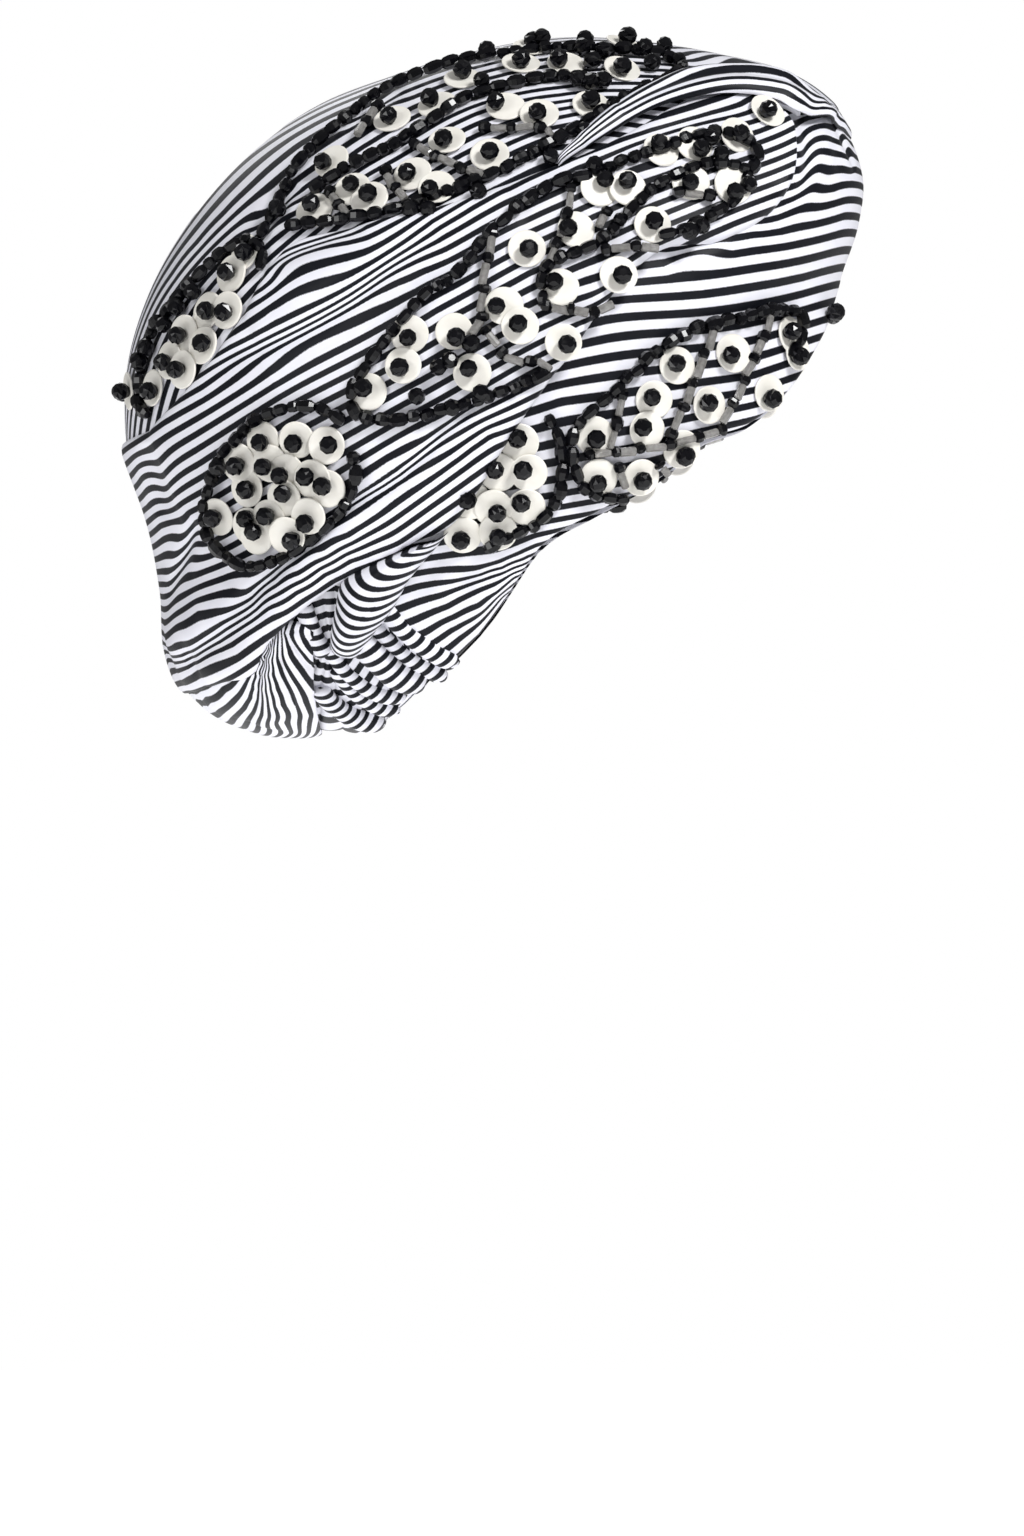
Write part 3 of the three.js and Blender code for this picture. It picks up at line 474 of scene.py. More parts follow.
def on_side_shown(point):
    """The points as rows, mirrored to the side shown where they are on the far one."""
    shown = point.reshape(-1, 3).copy()
    shown[:, 1] = -np.abs(shown[:, 1])
    return shown


def nearest_on(line, spots):
    """Distance to a polyline, the share along it, and the same distance with a sign: plus on the
    right hand of the path as seen from the side shown."""
    best = np.full((3, len(spots)), np.inf)
    for index in range(len(line) - 1):
        edge = line[index + 1] - line[index]
        part = np.clip((spots - line[index]) @ edge / (edge @ edge), 0, 1)
        away = spots - line[index] - part[:, None] * edge
        distance = np.linalg.norm(away, axis=1)
        hand = np.sign(edge[2] * away[:, 0] - edge[0] * away[:, 2])
        found = np.stack([distance, (index + part) / (len(line) - 1), hand * distance])
        best = np.where(distance < best[0], found, best)
    return best


def near_line(point, line, width):
    """Which points lie within three widths of a polyline's box, and what nearest_on says of them."""
    shown = on_side_shown(point)
    near = np.all((shown > line.min(0) - 3 * width) & (shown < line.max(0) + 3 * width), axis=1)
    return near, *nearest_on(line, shown[near])


def fold_lift(point, layer):
    """Sum over the folds of height times a bell of the distance, faded at both ends."""
    lift = np.zeros(point[..., 0].size)
    for fold_layer, width, height, _, line in RIDGES:
        if fold_layer <= layer:
            near, distance, along, _ = near_line(point, line, width)
            fade = np.sqrt(np.maximum(0, np.sin(math.pi * along)))
            lift[near] += height * fade * np.exp(-(distance / width) ** 2)
    return lift.reshape(point.shape[:-1])


def stripe_pinch(point, layer):
    """Stripes drawn together at a layer's creases: pinch times t exp(-t squared), faded at both
    ends, with t the signed distance over one and a half widths."""
    shift = np.zeros(point[..., 0].size)
    for fold_layer, width, _, pinch, line in RIDGES:
        if fold_layer == layer and pinch:
            near, _, along, signed = near_line(point, line, 1.5 * width)
            t = signed / (1.5 * width)
            shift[near] += pinch * np.sin(math.pi * along) * t * np.exp(-t**2) * 2.0
    return shift.reshape(point.shape[:-1])


def on_layer(ball, layer, height):
    """Point at a height over the inside of a layer, with the folds added, and its direction."""
    point, outward = on_hollow(ball)
    lift = layer * LAYER_STEP + fold_lift(point, layer) + height
    return point + outward * lift[..., None], outward


def mirrored(points):
    """The points on the other side of the middle plane."""
    return points * np.array([1.0, -1.0, 1.0])


def wrap_grid(wrap):
    """Ball points of a wrap, rows along it and columns across, and how deep its edges roll. A strip
    goes on round the far side, and a cap is a parabola through both sides and the middle plane."""
    table = np.array(wrap["sections"], float)
    height = face_height(wrap["layer"])
    low, high = on_ball(table[:, :2], height), on_ball(table[:, 2:], height)
    sink = np.broadcast_to(np.array(wrap["sink"], float), len(table))
    if wrap["layout"] == "strip":
        low[-1, 1] = high[-1, 1] = 0
        low, high = (np.concatenate([edge, mirrored(edge[:-1])[::-1]]) for edge in (low, high))
        sink = np.concatenate([sink, sink[:-1][::-1]])
    along_steps, across_steps = wrap["steps"]
    along = np.linspace(0, 1, along_steps + 1)
    across = np.linspace(0, 1, across_steps + 1)[None, :, None]
    side, centre = smooth_curve(low, along)[:, None], smooth_curve(high, along)[:, None]
    if wrap["layout"] == "cap":
        centre[..., 1] = 0
        centre = unit(centre)
        s = 2 * across - 1
        ball = centre * (1 - s**2) + side * (s**2 - s) / 2 + mirrored(side) * (s**2 + s) / 2
    else:
        ball = side + (centre - side) * across
    return unit(ball), np.interp(along * (len(sink) - 1), np.arange(len(sink)), sink)


def edge_distance(point, axis):
    """Running length from the first and to the last line of a grid, along one of its axes."""
    step = np.linalg.norm(np.diff(point, axis=axis), axis=-1)
    run = np.insert(np.cumsum(step, axis), 0, 0, axis)
    return run, run.take([-1], axis) - run


def rolled(distance, radius, sink):
    """Outer and inner height near a free edge: a quarter round that sinks under the cloth."""
    share = np.clip(1 - distance / radius, 0, 1)
    outer = -(CLOTH + sink) * (1 - np.sqrt(np.maximum(0, 1 - share**2)))
    inner = -sink * np.clip(2 - distance / radius, 0, 1) ** 2 * (distance < 2 * radius)
    return outer, np.maximum(inner, -sink)


def wrap_heights(wrap, point, depth):
    """Outer and inner heights of a wrap's wall over its layer, rolled at its free edges."""
    outer = np.full(point.shape[:2], CLOTH)
    inner = np.zeros(point.shape[:2])
    to_low, to_high = edge_distance(point, 1)
    to_start, to_end = edge_distance(point, 0)
    sink = np.broadcast_to(depth[:, None], to_low.shape)
    high_sink = np.minimum(sink, LAYER_GAP - 0.2) if wrap["layout"] != "cap" else sink
    if wrap["layer"] == TOP_LAYER:
        high_sink = np.full_like(sink, LAYER_STEP + LAYER_GAP - 0.3)
    room = (to_low + to_high) * 0.35
    edges = ((to_low, sink, room), (to_high, high_sink, room),
             (to_start, sink, np.inf), (to_end, sink, np.inf))
    for radius, (distance, deep, widest) in zip(wrap["rolls"], edges):
        if radius:
            lift_out, lift_in = rolled(distance, np.minimum(radius, widest), deep)
            outer, inner = outer + lift_out, inner + lift_in
    return np.maximum(outer, inner + THINNEST), inner


def closed_faces(rows, columns):
    """Faces of a closed wall between two grids, the outer one first, with a band round the rim."""
    index = np.arange(rows * columns).reshape(rows, columns)
    top = np.stack([index[:-1, :-1], index[:-1, 1:], index[1:, 1:], index[1:, :-1]], -1).reshape(-1, 4)
    bottom = top[:, [0, 3, 2, 1]] + index.size
    rim = np.concatenate([index[:-1, 0], index[-1, :-1], index[:0:-1, -1], index[0, :0:-1]])
    after = np.roll(rim, -1)
    band = np.stack([rim, after, after + index.size, rim + index.size], -1)
    return np.concatenate([top, bottom, band])


def ring_faces(rows, sides):
    """Faces of stacked rings, closed at both ends on the two points that follow them."""
    index = np.arange(rows * sides).reshape(rows, sides)
    after = np.roll(index, -1, axis=1)
    walls = np.stack([index[:-1], after[:-1], after[1:], index[1:]], -1).reshape(-1, 4)
    low, high = np.full(sides, rows * sides), np.full(sides, rows * sides + 1)
    under = np.stack([after[0], index[0], low, low], -1)
    over = np.stack([index[-1], after[-1], high, high], -1)
    return np.concatenate([walls, under, over])


def face_outward(vertices, faces):
    """Faces turned over where the volume that they enclose comes out negative."""
    first, second, third, fourth = np.moveaxis(vertices[faces], 1, 0)
    volume = np.sum(first * (np.cross(second, third) + np.cross(third, fourth)))
    return faces[:, ::-1] if volume < 0 else faces


def joined(shells):
    """Shells of points, faces and numbers in one list of each."""
    points, faces, numbers = zip(*shells)
    starts = np.cumsum([0] + [len(part) for part in points[:-1]])
    faces = [part + start for part, start in zip(faces, starts)]
    return np.concatenate(points), np.concatenate(faces), np.concatenate(numbers)


def add_object(name, data):
    """New object in the scene, at the origin."""
    thing = bpy.data.objects.new(name, data)
    bpy.context.scene.collection.objects.link(thing)
    return thing


def make_piece(name, shells, materials, replaced, side):
    """Piece in metres from millimetre shells, riding on the one body. Cloth has one material, is
    smooth and keeps a stripe number for each point. A trim has a material number for each face."""
    vertices, faces, numbers = joined(shells)
    if side < 0:
        vertices, faces = mirrored(vertices), faces[:, ::-1]
    mesh = bpy.data.meshes.new(name)
    corners = [list(dict.fromkeys(face)) for face in faces.tolist()]
    mesh.from_pydata((vertices * MM).tolist(), [], corners)
    if len(materials) == 1:
        mesh.polygons.foreach_set("use_smooth", np.full(len(faces), True))
        stripe = mesh.attributes.new("stripe", "FLOAT", "POINT")
        stripe.data.foreach_set("value", numbers.astype(np.float32))
    else:
        mesh.polygons.foreach_set("material_index", numbers.astype(np.int32))
    for material in materials:
        mesh.materials.append(material)
    mesh.update()
    piece = add_object(name, mesh)
    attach(piece, "root")
    if replaced:
        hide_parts(*replaced)
    return piece


def stripe_field(guides, layer, point):
    """Stripe number at every point: distances to the guides' points, weighted so that each of
    those gets its own stripe's number, with a plane added."""
    lines = [hollow_line(path, layer, 2) for _, path in guides]
    numbers = np.repeat([float(number) for number, _ in guides], [len(line) for line in lines])
    centres = np.concatenate(lines)
    count = len(centres)
    plane = np.concatenate([np.ones((count, 1)), centres / 100], 1)
    system = np.zeros((count + 4, count + 4))
    system[:count, :count] = np.linalg.norm(centres[:, None] - centres[None], axis=-1) - np.eye(count)
    system[:count, count:] = plane
    system[count:, :count] = plane.T
    weights = np.linalg.lstsq(system, np.concatenate([numbers, np.zeros(4)]), rcond=None)[0]
    shown = on_side_shown(point)
    out = []
    for part in np.array_split(shown, len(shown) // BATCH + 1):
        away = np.linalg.norm(part[:, None] - centres[None], axis=-1)
        out.append(away @ weights[:count] + weights[count] + part / 100 @ weights[count + 1:])
    return np.concatenate(out).reshape(point.shape[:-1])


def pleats_about(point, place, pleat_angle):
    """Distance from a gathering point, and the phase of the pleats that spread from it."""
    x, z = side_place(*place)
    away_x, away_z = point[..., 0] - x, point[..., 2] - z
    far = np.hypot(away_x, away_z)
    turn = np.degrees(np.arctan2(away_z, away_x)) + 3.0 * np.sin(far / 5.0)
    return far, turn / pleat_angle


def wrap_relief(name, point, rows, columns):
    """Relief of a wrap in mm: rounded pleats with sharp valleys at the nape and the pouch, a half
    round on the under rolls, and a bell that sinks the two outer wraps at the middle plane."""
    if name == "nape_gather":
        phase = pleats_about(point, PINCH, NAPE_PLEAT)[1]
        return 1.2 * np.sqrt(np.abs(np.sin(math.pi * phase))) - 1.6
    if name == "back_pouch":
        far, phase = pleats_about(point, POUCH_TOP, POUCH_PLEAT)
        pleats = np.sqrt(np.abs(np.sin(math.pi * phase)))
        return 1.8 * pleats * np.sin(math.pi * np.clip(far / POUCH_DEPTH, 0, 1))
    if name == "under_roll":
        round_across = np.sqrt(np.maximum(0, 1 - (2 * columns - 1) ** 2))
        return 5.4 * round_across * np.sqrt(1 - rows**6)
    if name == "top_roll":
        return -FRONT_SINK * np.exp(-((rows - 0.5) / 0.075) ** 2)
    if name == "side_wrap":
        return -BACK_SINK * np.exp(-((rows - 0.5) / 0.1) ** 2) * np.sin(math.pi * columns)
    return np.zeros(point.shape[:2])


def stripe_numbers(name, point, rows, columns):
    """Stripe number on a wrap: from its guides, or from its own length, width or gathers."""
    layer = WRAPS[name]["layer"]
    if name in STRIPES:
        return stripe_field(STRIPES[name], layer, point) + stripe_pinch(point, layer)
    if name == "under_roll":
        bow = (0.4 + 1.2 * rows**2) * 4 * columns * (1 - columns)
        return 11.0 * rows + 4.6 * rows**2 - bow + 1.2 * columns
    if name == "top_roll":
        return columns * 4.4 + np.abs(rows - 0.5) * 2.4 + stripe_pinch(point, layer)
    return pleats_about(point, PINCH, NAPE_PLEAT)[0] / STRIPE_STEP


def running_length(line):
    """Length along a polyline up to each of its points."""
    return np.concatenate([[0], np.cumsum(np.linalg.norm(np.diff(line, axis=0), axis=1))])


def cloth_roll(path, radius, shift):
    """Closed roll of cloth along a line on the hollow: rings of a radius that swells from its
    start and closes in a quarter round at both ends, with the stripes across it."""
    height = radius * 0.5
    ball = smooth_curve(on_ball(path, height), np.linspace(0, 1, ROLL_STEPS + 1))
    line, outward = on_layer(ball, 0, np.full(len(ball), height))
    run = running_length(line)
    share = run / run[-1]
    to_end = np.minimum(share / 0.08, (1 - share) / 0.12)
    close = np.sqrt(np.maximum(1 - np.maximum(1 - to_end, 0) ** 2, 1e-4))
    girth = radius * close * (0.72 + 0.28 * np.sqrt(share))
    across = np.cross(unit(np.gradient(line, axis=0)), outward)
    turn = np.arange(ROLL_SIDES) / ROLL_SIDES * 2 * math.pi
    wrinkle = 0.03 * np.sin(run[:, None] / 2.1 + shift * 9)
    ripple = 1 + 0.05 * np.sin(2 * turn[None] + run[:, None] / 4) + wrinkle
    ring = (np.cos(turn)[None, :, None] * across[:, None]
            + 0.9 * np.sin(turn)[None, :, None] * outward[:, None])
    rings = line[:, None] + girth[:, None, None] * ripple[..., None] * ring
    number = run[:, None] / 4.0 + shift + 0.16 * np.cos(turn)[None]
    vertices = np.concatenate([rings.reshape(-1, 3), line[:1], line[-1:]])
    numbers = np.concatenate([number.ravel(), number[0, :1], number[-1, :1]])
    return vertices, ring_faces(len(line), ROLL_SIDES), numbers


def make_wrap(name, wrap, material):
    """Cloth wall: two grids at the wall's heights, joined along all four edges. The nape's rolls
    are shells of the same piece, on both sides."""
    ball, depth = wrap_grid(wrap)
    base, outward = on_hollow(ball)
    shares = (np.linspace(0, 1, count) for count in base.shape[:2])
    rows, columns = np.meshgrid(*shares, indexing="ij")
    lift = wrap["layer"] * LAYER_STEP + fold_lift(base, wrap["layer"])
    lift = lift + wrap_relief(name, base, rows, columns)
    faces = [base + outward * (lift + height)[..., None] for height in wrap_heights(wrap, base, depth)]
    wall = np.concatenate([face.reshape(-1, 3) for face in faces])
    number = stripe_numbers(name, base, rows, columns).ravel()
    shells = [(wall, closed_faces(*base.shape[:2]), np.tile(number, 2))]
    if name == "nape_gather":
        for radius, shift, path in GATHER_ROLLS:
            vertices, faces, numbers = cloth_roll(path, radius, shift)
            shells += [(vertices, faces, numbers), (mirrored(vertices), faces, numbers)]
    shells = [(points, face_outward(points, faces), numbers) for points, faces, numbers in shells]
    sides = (("_right", 1), ("_left", -1)) if wrap["layout"] == "pair" else (("", 1),)
    for ending, side in sides:
        node = name + ending
        piece = make_piece(node + "_cloth", shells, [material], [node], side)


def turned(profile, sides, twist=0):
    """Closed form round Z from rows of radius and height, whose ends are on the axis. A twist of
    one turns every other row by half a side, which cuts the wall into slanting facets."""
    profile = np.asarray(profile, float)
    ring = np.arange(sides) / sides * 2 * math.pi
    body = profile[1:-1]
    ring = ring + twist * (np.arange(len(body)) % 2)[:, None] * math.pi / sides
    points = np.stack([body[:, :1] * np.cos(ring), body[:, :1] * np.sin(ring),
                       np.repeat(body[:, 1:], sides, 1)], -1).reshape(-1, 3)
    vertices = np.concatenate([points, [[0, 0, profile[0, 1]], [0, 0, profile[-1, 1]]]])
    return vertices, ring_faces(len(body), sides)


def many(form, centres, axes, spins, sizes, kind):
    """Copies of a form as one shell, with a material number for each face: scaled, spun about Z,
    then with Z turned to each axis."""
    vertices, faces = form
    axes = unit(axes)
    helper = np.where(np.abs(axes[:, 2:]) < 0.9, [[0.0, 0.0, 1.0]], [[1.0, 0.0, 0.0]])
    across = unit(np.cross(helper, axes))
    spun = np.cos(spins)[:, None] * across + np.sin(spins)[:, None] * np.cross(axes, across)
    turns = np.stack([spun, np.cross(axes, spun), axes], 1)
    points = vertices[None] * sizes[:, None] @ turns + centres[:, None]
    shifts = np.arange(len(centres))[:, None, None] * len(vertices)
    faces = (faces[None] + shifts).reshape(-1, 4)
    return points.reshape(-1, 3), faces, np.full(len(faces), kind)


# Trims as rows of radius and height: string bead, bugle, round bead and sequin
BEAD = turned([(0, -0.5), (0.55, -0.5), (0.93, -0.28), (1.0, 0.0), (0.93, 0.28), (0.55, 0.5),
               (0, 0.5)], 7)
BUGLE = turned([(0, -0.5), (0.8, -0.5), (1.0, -0.44), (1.0, 0.44), (0.8, 0.5), (0, 0.5)], 8)
ROUND = turned([(0, -0.5), (0.24, -0.5), (0.44, -0.24), (0.5, 0.02), (0.4, 0.28), (0.2, 0.44),
                (0, 0.44)], 8, 1)
DISC = turned([(0, -0.02), (0.47, -0.018), (0.5, 0.0), (0.5, 0.028), (0.47, 0.046), (0.12, 0.04),
               (0, 0.04)], 40)


def along_line(line, run, places):
    """Points of a polyline at running lengths."""
    return np.stack([np.interp(places, run, line[:, axis]) for axis in range(3)], -1)


def add_string(shells, path, layer, bugles=False):
    """Beads end to end along a path: each takes its own length, give or take a random share."""
    height = CLOTH + STRING_GAP + STRING_BEAD / 2
    shares = np.linspace(0, 1, 24 * len(path))
    ball = smooth_curve(on_ball(path, layer * LAYER_STEP + height, TRIM_PARTING), shares)
    line = on_layer(ball, layer, np.full(len(ball), height))[0]
    run = running_length(line)
    bead_length = VEIN_BEAD_LENGTH if bugles else BEAD_LENGTH
    lengths, clear = [], []
    while sum(lengths) < run[-1]:
        clear.append(bugles and len(lengths) % 2 == 1)
        lengths.append(BUGLE_LENGTH * random.uniform(0.85, 1.15) if clear[-1] else
                       bead_length * random.uniform(0.7, 1.3))
    lengths = np.array(lengths) * run[-1] / sum(lengths)
    clear = np.array(clear)
    middle = np.cumsum(lengths) - lengths / 2
    reach = np.minimum(lengths * 0.45, 1.5)
    axes = along_line(line, run, middle + reach) - along_line(line, run, middle - reach)
    sway = random.uniform(-0.4, 0.4, (len(middle), 3))
    centres = along_line(line, run, middle) + sway
    width = STRING_BEAD / 2 * random.uniform(1.25, 1.6, len(middle))
    spins = random.uniform(0, FULL_SPIN, len(middle))
    for kind, form, chosen, thin in ((0, BEAD, ~clear, 1.0), (1, BUGLE, clear, BUGLE_THIN)):
        if chosen.any():
            sizes = np.stack([width * thin, width * thin, lengths * 1.02], -1)[chosen]
            axis = axes[chosen] + sway[chosen] * 0.9
            shells.append(many(form, centres[chosen], axis, spins[chosen], sizes, kind))


def scatter(form, size, low, high, centres, axes, kind):
    """Copies of a form of about one size, each by a random share from low to high, spun at random."""
    sizes = np.repeat(size * random.uniform(low, high, len(centres))[:, None], 3, 1)
    return many(form, centres, axes, random.uniform(0, FULL_SPIN, len(centres)), sizes, kind)


def add_rounds(shells, places, layer):
    """Round faceted beads that sit on the cloth beside the strings."""
    height = CLOTH + EYE_RISE
    ball = on_ball(places, layer * LAYER_STEP + height, TRIM_PARTING)
    centres, outward = on_layer(ball, layer, np.full(len(ball), height))
    tilt = outward + random.uniform(-0.5, 0.5, outward.shape)
    shells.append(scatter(ROUND, EYE_BEAD, 0.86, 1.02, centres, tilt, 0))


def add_sequins(shells, rows, layer):
    """Sequins leaning at random on the cloth, each with its round bead off the middle. One that
    lies over others listed before it is raised by a step for each."""
    rows = np.array(rows, float)
    ball = on_ball(rows[:, :2], face_height(layer) + SEQUIN_GAP, TRIM_PARTING)
    point = on_hollow(ball)[0]
    near = np.linalg.norm(point[:, None] - point[None], axis=-1) < SEQUIN * 0.95
    stack = np.minimum(np.tril(near, -1).sum(1) * STACK_STEP, STACK_LIMIT)
    centres, outward = on_layer(ball, layer, CLOTH + SEQUIN_LIFT + stack)
    lean = unit(outward + random.uniform(-0.09, 0.09, outward.shape))
    shells.append(scatter(DISC, SEQUIN, 0.96, 1.03, centres, lean, 1))
    seat = centres + bead_offset(rows[:, 2:4] * SEQUIN / 2, lean)
    tilt = lean + random.uniform(-0.25, 0.25, lean.shape)
    shells.append(scatter(ROUND, EYE_BEAD, 0.95, 1.05, seat, tilt, 0))


def bead_offset(seen, lean):
    """Step from a sequin's middle to its bead: the bead's height along the lean, and a slide in
    the sequin's plane that brings it to its seen offset, at most halfway to the rim."""
    across = unit(np.cross([[0.0, 0.0, 1.0]], lean))
    upward = np.cross(lean, across)
    left_over = seen - EYE_RISE * lean[:, [0, 2]]
    size = across[:, 0] * upward[:, 2] - across[:, 2] * upward[:, 0]
    size = np.where(np.abs(size) < 0.35, 0.35 * np.sign(size), size)
    slide_across = (left_over[:, 0] * upward[:, 2] - left_over[:, 1] * upward[:, 0]) / size
    slide_upward = (across[:, 0] * left_over[:, 1] - across[:, 2] * left_over[:, 0]) / size
    length = np.hypot(slide_across, slide_upward)
    keep = np.minimum(1, SEQUIN * 0.26 / np.maximum(length, 1e-6))
    return (EYE_RISE * lean + (keep * slide_across)[:, None] * across
            + (keep * slide_upward)[:, None] * upward)


def new_material(name, constants):
    """Material with constants on its shader's own sockets, its node tree and its shader."""
    material = bpy.data.materials.new(name)
    material.use_nodes = True
    tree = material.node_tree
    shader = next(node for node in tree.nodes if node.type == "BSDF_PRINCIPLED")
    for socket, value in constants.items():
        shader.inputs[socket].default_value = value
    return material, tree, shader


def feed(tree, socket, value):
    """Set a socket to a number or a colour, or link another node's output to it."""
    if isinstance(value, tuple):
        socket.default_value = (*value, 1.0)
    elif isinstance(value, (int, float)):
        socket.default_value = value
    else:
        tree.links.new(value, socket)


def multiply_add(tree, value, factor, added):
    """Output of a node that gives value times factor plus what is added."""
    node = tree.nodes.new("ShaderNodeMath")
    node.operation = "MULTIPLY_ADD"
    for socket, given in zip(node.inputs, (value, factor, added)):
        feed(tree, socket, given)
    return node.outputs[0]


def noise_node(tree, vector, scale, detail=2.0):
    """Output of a noise that drifts over the place given."""
    node = tree.nodes.new("ShaderNodeTexNoise")
    node.inputs["Scale"].default_value = scale
    node.inputs["Detail"].default_value = detail
    tree.links.new(vector, node.inputs["Vector"])
    return node.outputs["Fac"]


def mix_colour(tree, factor, first, second):
    """Output of a node that goes from one colour to another by a factor."""
    node = tree.nodes.new("ShaderNodeMix")
    node.data_type = "RGBA"
    for number, value in ((0, factor), (6, first), (7, second)):
        feed(tree, node.inputs[number], value)
    return node.outputs[2]


def object_place(tree):
    """Output of the Object coordinates."""
    return tree.nodes.new("ShaderNodeTexCoord").outputs["Object"]


def weave_group():
    """Group that gives thread relief and a soft mottle from Object coordinates."""
    group = bpy.data.node_groups.new("satin_weave", "ShaderNodeTree")
    group.interface.new_socket("Vector", in_out="INPUT", socket_type="NodeSocketVector")
    source = group.nodes.new("NodeGroupInput")
    sink = group.nodes.new("NodeGroupOutput")
    for name, scale, detail in (("Threads", 3200.0, 1.0), ("Mottle", 90.0, 3.0)):
        group.interface.new_socket(name, in_out="OUTPUT", socket_type="NodeSocketFloat")
        noise = noise_node(group, source.outputs["Vector"], scale, detail)
        group.links.new(noise, sink.inputs[name])
    return group


def satin_material(weave):
    """Woven stripes: dark where the stripe number's fraction is near a whole one."""
    material, tree, shader = new_material("striped_satin", {
        "Sheen Weight": 0.02, "Sheen Roughness": 0.4, "Specular IOR Level": 0.16})
    stripe = tree.nodes.new("ShaderNodeAttribute")
    stripe.attribute_name = "stripe"
    cloth = tree.nodes.new("ShaderNodeGroup")
    cloth.node_tree = weave
    tree.links.new(object_place(tree), cloth.inputs["Vector"])
    ragged = multiply_add(tree, cloth.outputs["Threads"], 0.06, -0.03)
    number = multiply_add(tree, stripe.outputs["Fac"], 1.0, ragged)
    wave = tree.nodes.new("ShaderNodeMath")
    wave.operation = "PINGPONG"
    wave.inputs[1].default_value = 0.5
    tree.links.new(number, wave.inputs[0])
    edge = multiply_add(tree, wave.outputs[0], STRIPE_EDGE, 0.5 - DARK_SHARE * STRIPE_EDGE)
    edge.node.use_clamp = True
    mottle = cloth.outputs["Mottle"]
    white = mix_colour(tree, mottle, (0.78, 0.78, 0.87), (0.90, 0.90, 0.95))
    dark = mix_colour(tree, mottle, (0.003, 0.0035, 0.006), (0.009, 0.010, 0.015))
    tree.links.new(mix_colour(tree, edge, dark, white), shader.inputs["Base Color"])
    tree.links.new(multiply_add(tree, mottle, 0.16, 0.34), shader.inputs["Roughness"])
    bump = tree.nodes.new("ShaderNodeBump")
    bump.inputs["Strength"].default_value = 0.25
    bump.inputs["Distance"].default_value = 0.0002
    tree.links.new(cloth.outputs["Threads"], bump.inputs["Height"])
    tree.links.new(bump.outputs["Normal"], shader.inputs["Normal"])
    return material


def toned_material(name, scale, dark, pale, rough, constants):
    """Bead or sequin whose tone drifts between two colours. Rough, where given, is what the
    roughness gains with the tone and where it starts."""
    material, tree, shader = new_material(name, constants)
    tone = noise_node(tree, object_place(tree), scale)
    tree.links.new(mix_colour(tree, tone, dark, pale), shader.inputs["Base Color"])
    if rough:
        tree.links.new(multiply_add(tree, tone, *rough), shader.inputs["Roughness"])
    return material


def make_trims():
    """Strings and sequins of every field, on the side shown and mirrored on the far side. Jet is
    near black and glossy, bugles are clear grey glass, and sequins are a cloudy ivory."""
    jet = toned_material("jet_glass", 160.0, (0.001, 0.001, 0.0015), (0.004, 0.004, 0.006),
                         (0.16, 0.08), {"Specular IOR Level": 0.28})
    clear = toned_material("clear_bugle", 700.0, (0.20, 0.19, 0.18), (0.62, 0.61, 0.59), None,
                           {"Roughness": 0.12, "Transmission Weight": 0.55})
    ivory = toned_material("ivory_sequin", 220.0, (0.84, 0.81, 0.73), (0.95, 0.93, 0.88),
                           (0.15, 0.38), {"Coat Weight": 0.05})
    for field, (layer, path) in STRINGS.items():
        for ending, side in (("right", 1), ("left", -1)):
            beads, eyes = [], []
            add_string(beads, path, layer)
            for vein in DARK_VEINS.get(field, []):
                add_string(beads, vein, layer)
            for vein in VEINS.get(field, []):
                add_string(beads, vein, layer, bugles=True)
            if field in ROUND_BEADS:
                add_rounds(beads, ROUND_BEADS[field], layer)
            make_piece(f"{field}_beads_{ending}", beads, [jet, clear],
                       [f"bead_string_{field}_{ending}"], side)
            add_sequins(eyes, SEQUINS[field], layer)
            own = sorted(node for node in set(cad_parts) if node.startswith(f"sequin_{field}_"))
            make_piece(f"{field}_sequins_{ending}", eyes, [jet, ivory],
                       own if side > 0 else [], side)


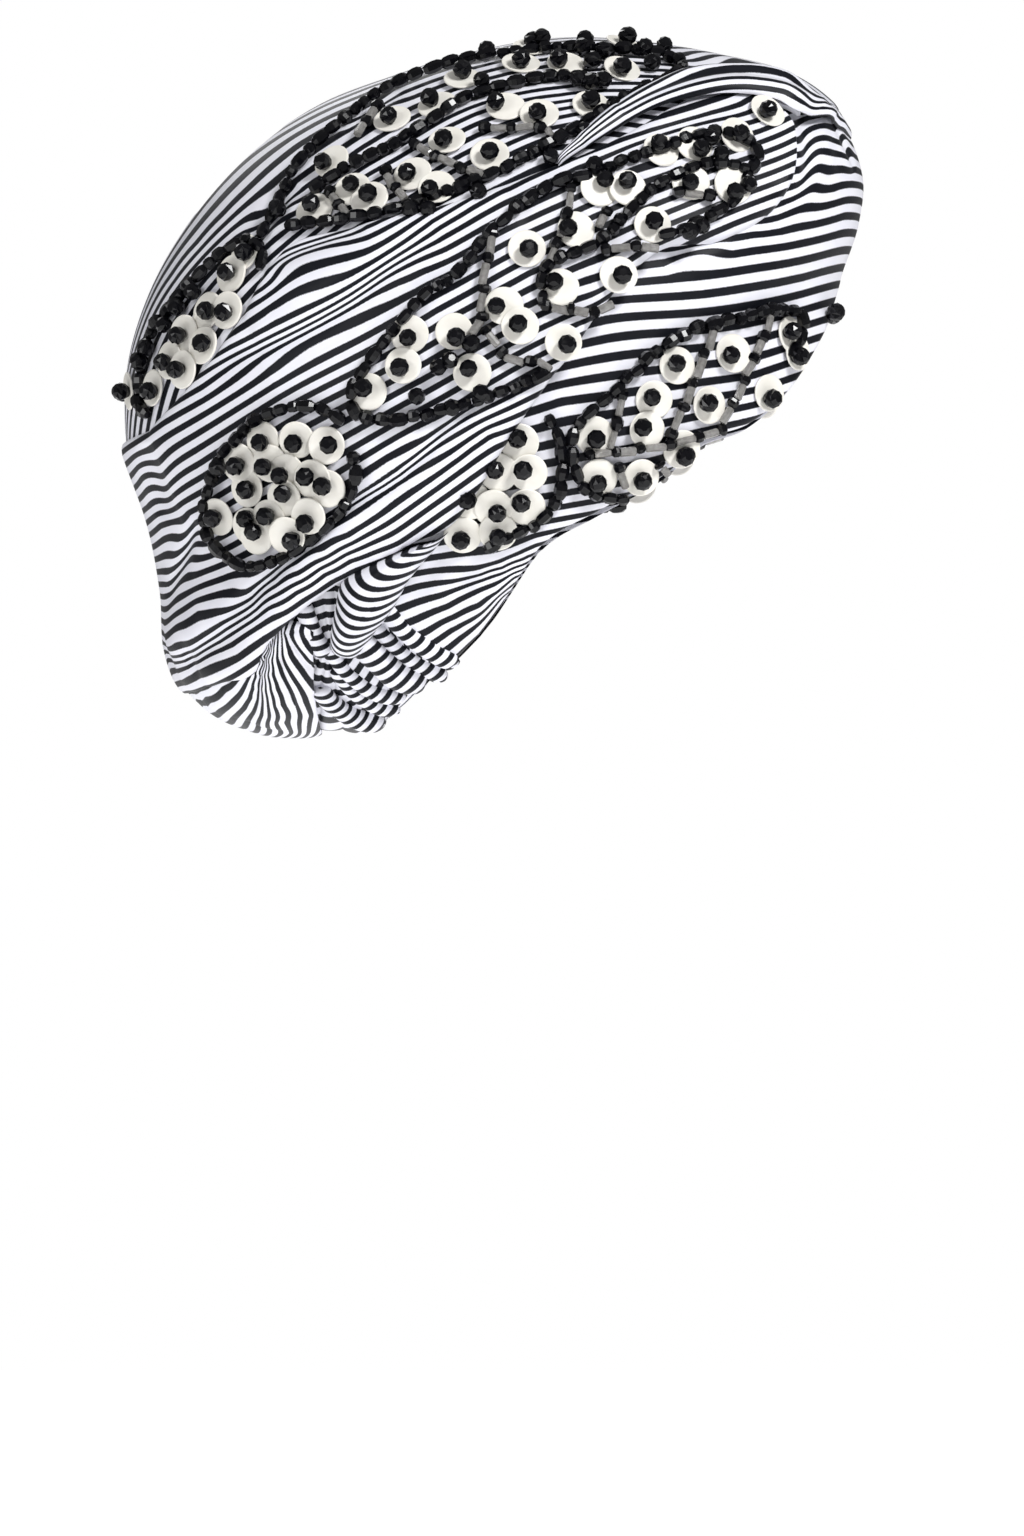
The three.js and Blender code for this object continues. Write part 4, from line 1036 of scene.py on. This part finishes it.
def add_light(name, place, size, power):
    """Soft round lamp aimed at the turban's middle."""
    data = bpy.data.lights.new(name, "AREA")
    data.shape = "DISK"
    data.size = size
    data.energy = power
    light = add_object(name, data)
    light.location = place
    light.rotation_euler = (Vector(AIM) - Vector(place)).to_track_quat("-Z", "Y").to_euler()


def make_world():
    """White studio: a softer strength lights the turban than the one seen behind it."""
    world = bpy.data.worlds.new("studio")
    world.use_nodes = True
    tree = world.node_tree
    light = tree.nodes["Background"]
    seen = tree.nodes.new("ShaderNodeLightPath").outputs["Is Camera Ray"]
    strength = multiply_add(tree, seen, SEEN_WHITE - SOFT_WHITE, SOFT_WHITE)
    light.inputs["Color"].default_value = (1.0, 1.0, 1.0, 1.0)
    tree.links.new(strength, light.inputs["Strength"])
    bpy.context.scene.world = world


def make_stage():
    """Floor far below the worn height, pale and with a little light of its own, so that it runs
    into the white behind, with soft light all round and three lamps."""
    material = new_material("pale_floor", {
        "Base Color": (0.92, 0.92, 0.92, 1.0), "Roughness": 0.9,
        "Emission Color": (1.0, 1.0, 1.0, 1.0), "Emission Strength": 0.62})[0]
    mesh = bpy.data.meshes.new("floor")
    signs = ((-1, -1), (1, -1), (1, 1), (-1, 1))
    corners = [(x * FLOOR_HALF, y * FLOOR_HALF, FLOOR_Z) for x, y in signs]
    mesh.from_pydata(corners, [], [(0, 1, 2, 3)])
    mesh.materials.append(material)
    add_object("floor", mesh)
    make_world()
    add_light("key", (0.75, -1.2, 0.95), 0.45, 24.0)
    add_light("fill", (-1.1, -1.3, 0.35), 0.6, 6.0)
    add_light("back_soft", (-0.4, 1.3, 0.8), 0.9, 4.0)
    bpy.context.scene.view_settings.view_transform = "Standard"


def make_camera():
    """Camera level with the frame's middle, far off so that the view is nearly flat."""
    data = bpy.data.cameras.new("view")
    data.sensor_width = 36.0
    data.lens = data.sensor_width * CAMERA_AWAY / FRAME_HEIGHT
    data.clip_end = 60.0
    camera = add_object("view", data)
    camera.location = (-0.0159, -CAMERA_AWAY, -0.2300)
    camera.rotation_euler = (math.pi / 2, 0, 0)
    bpy.context.scene.camera = camera


make_camera()
make_stage()
satin = satin_material(weave_group())
for wrap_name, wrap_rows in WRAPS.items():
    make_wrap(wrap_name, wrap_rows, satin)
make_trims()
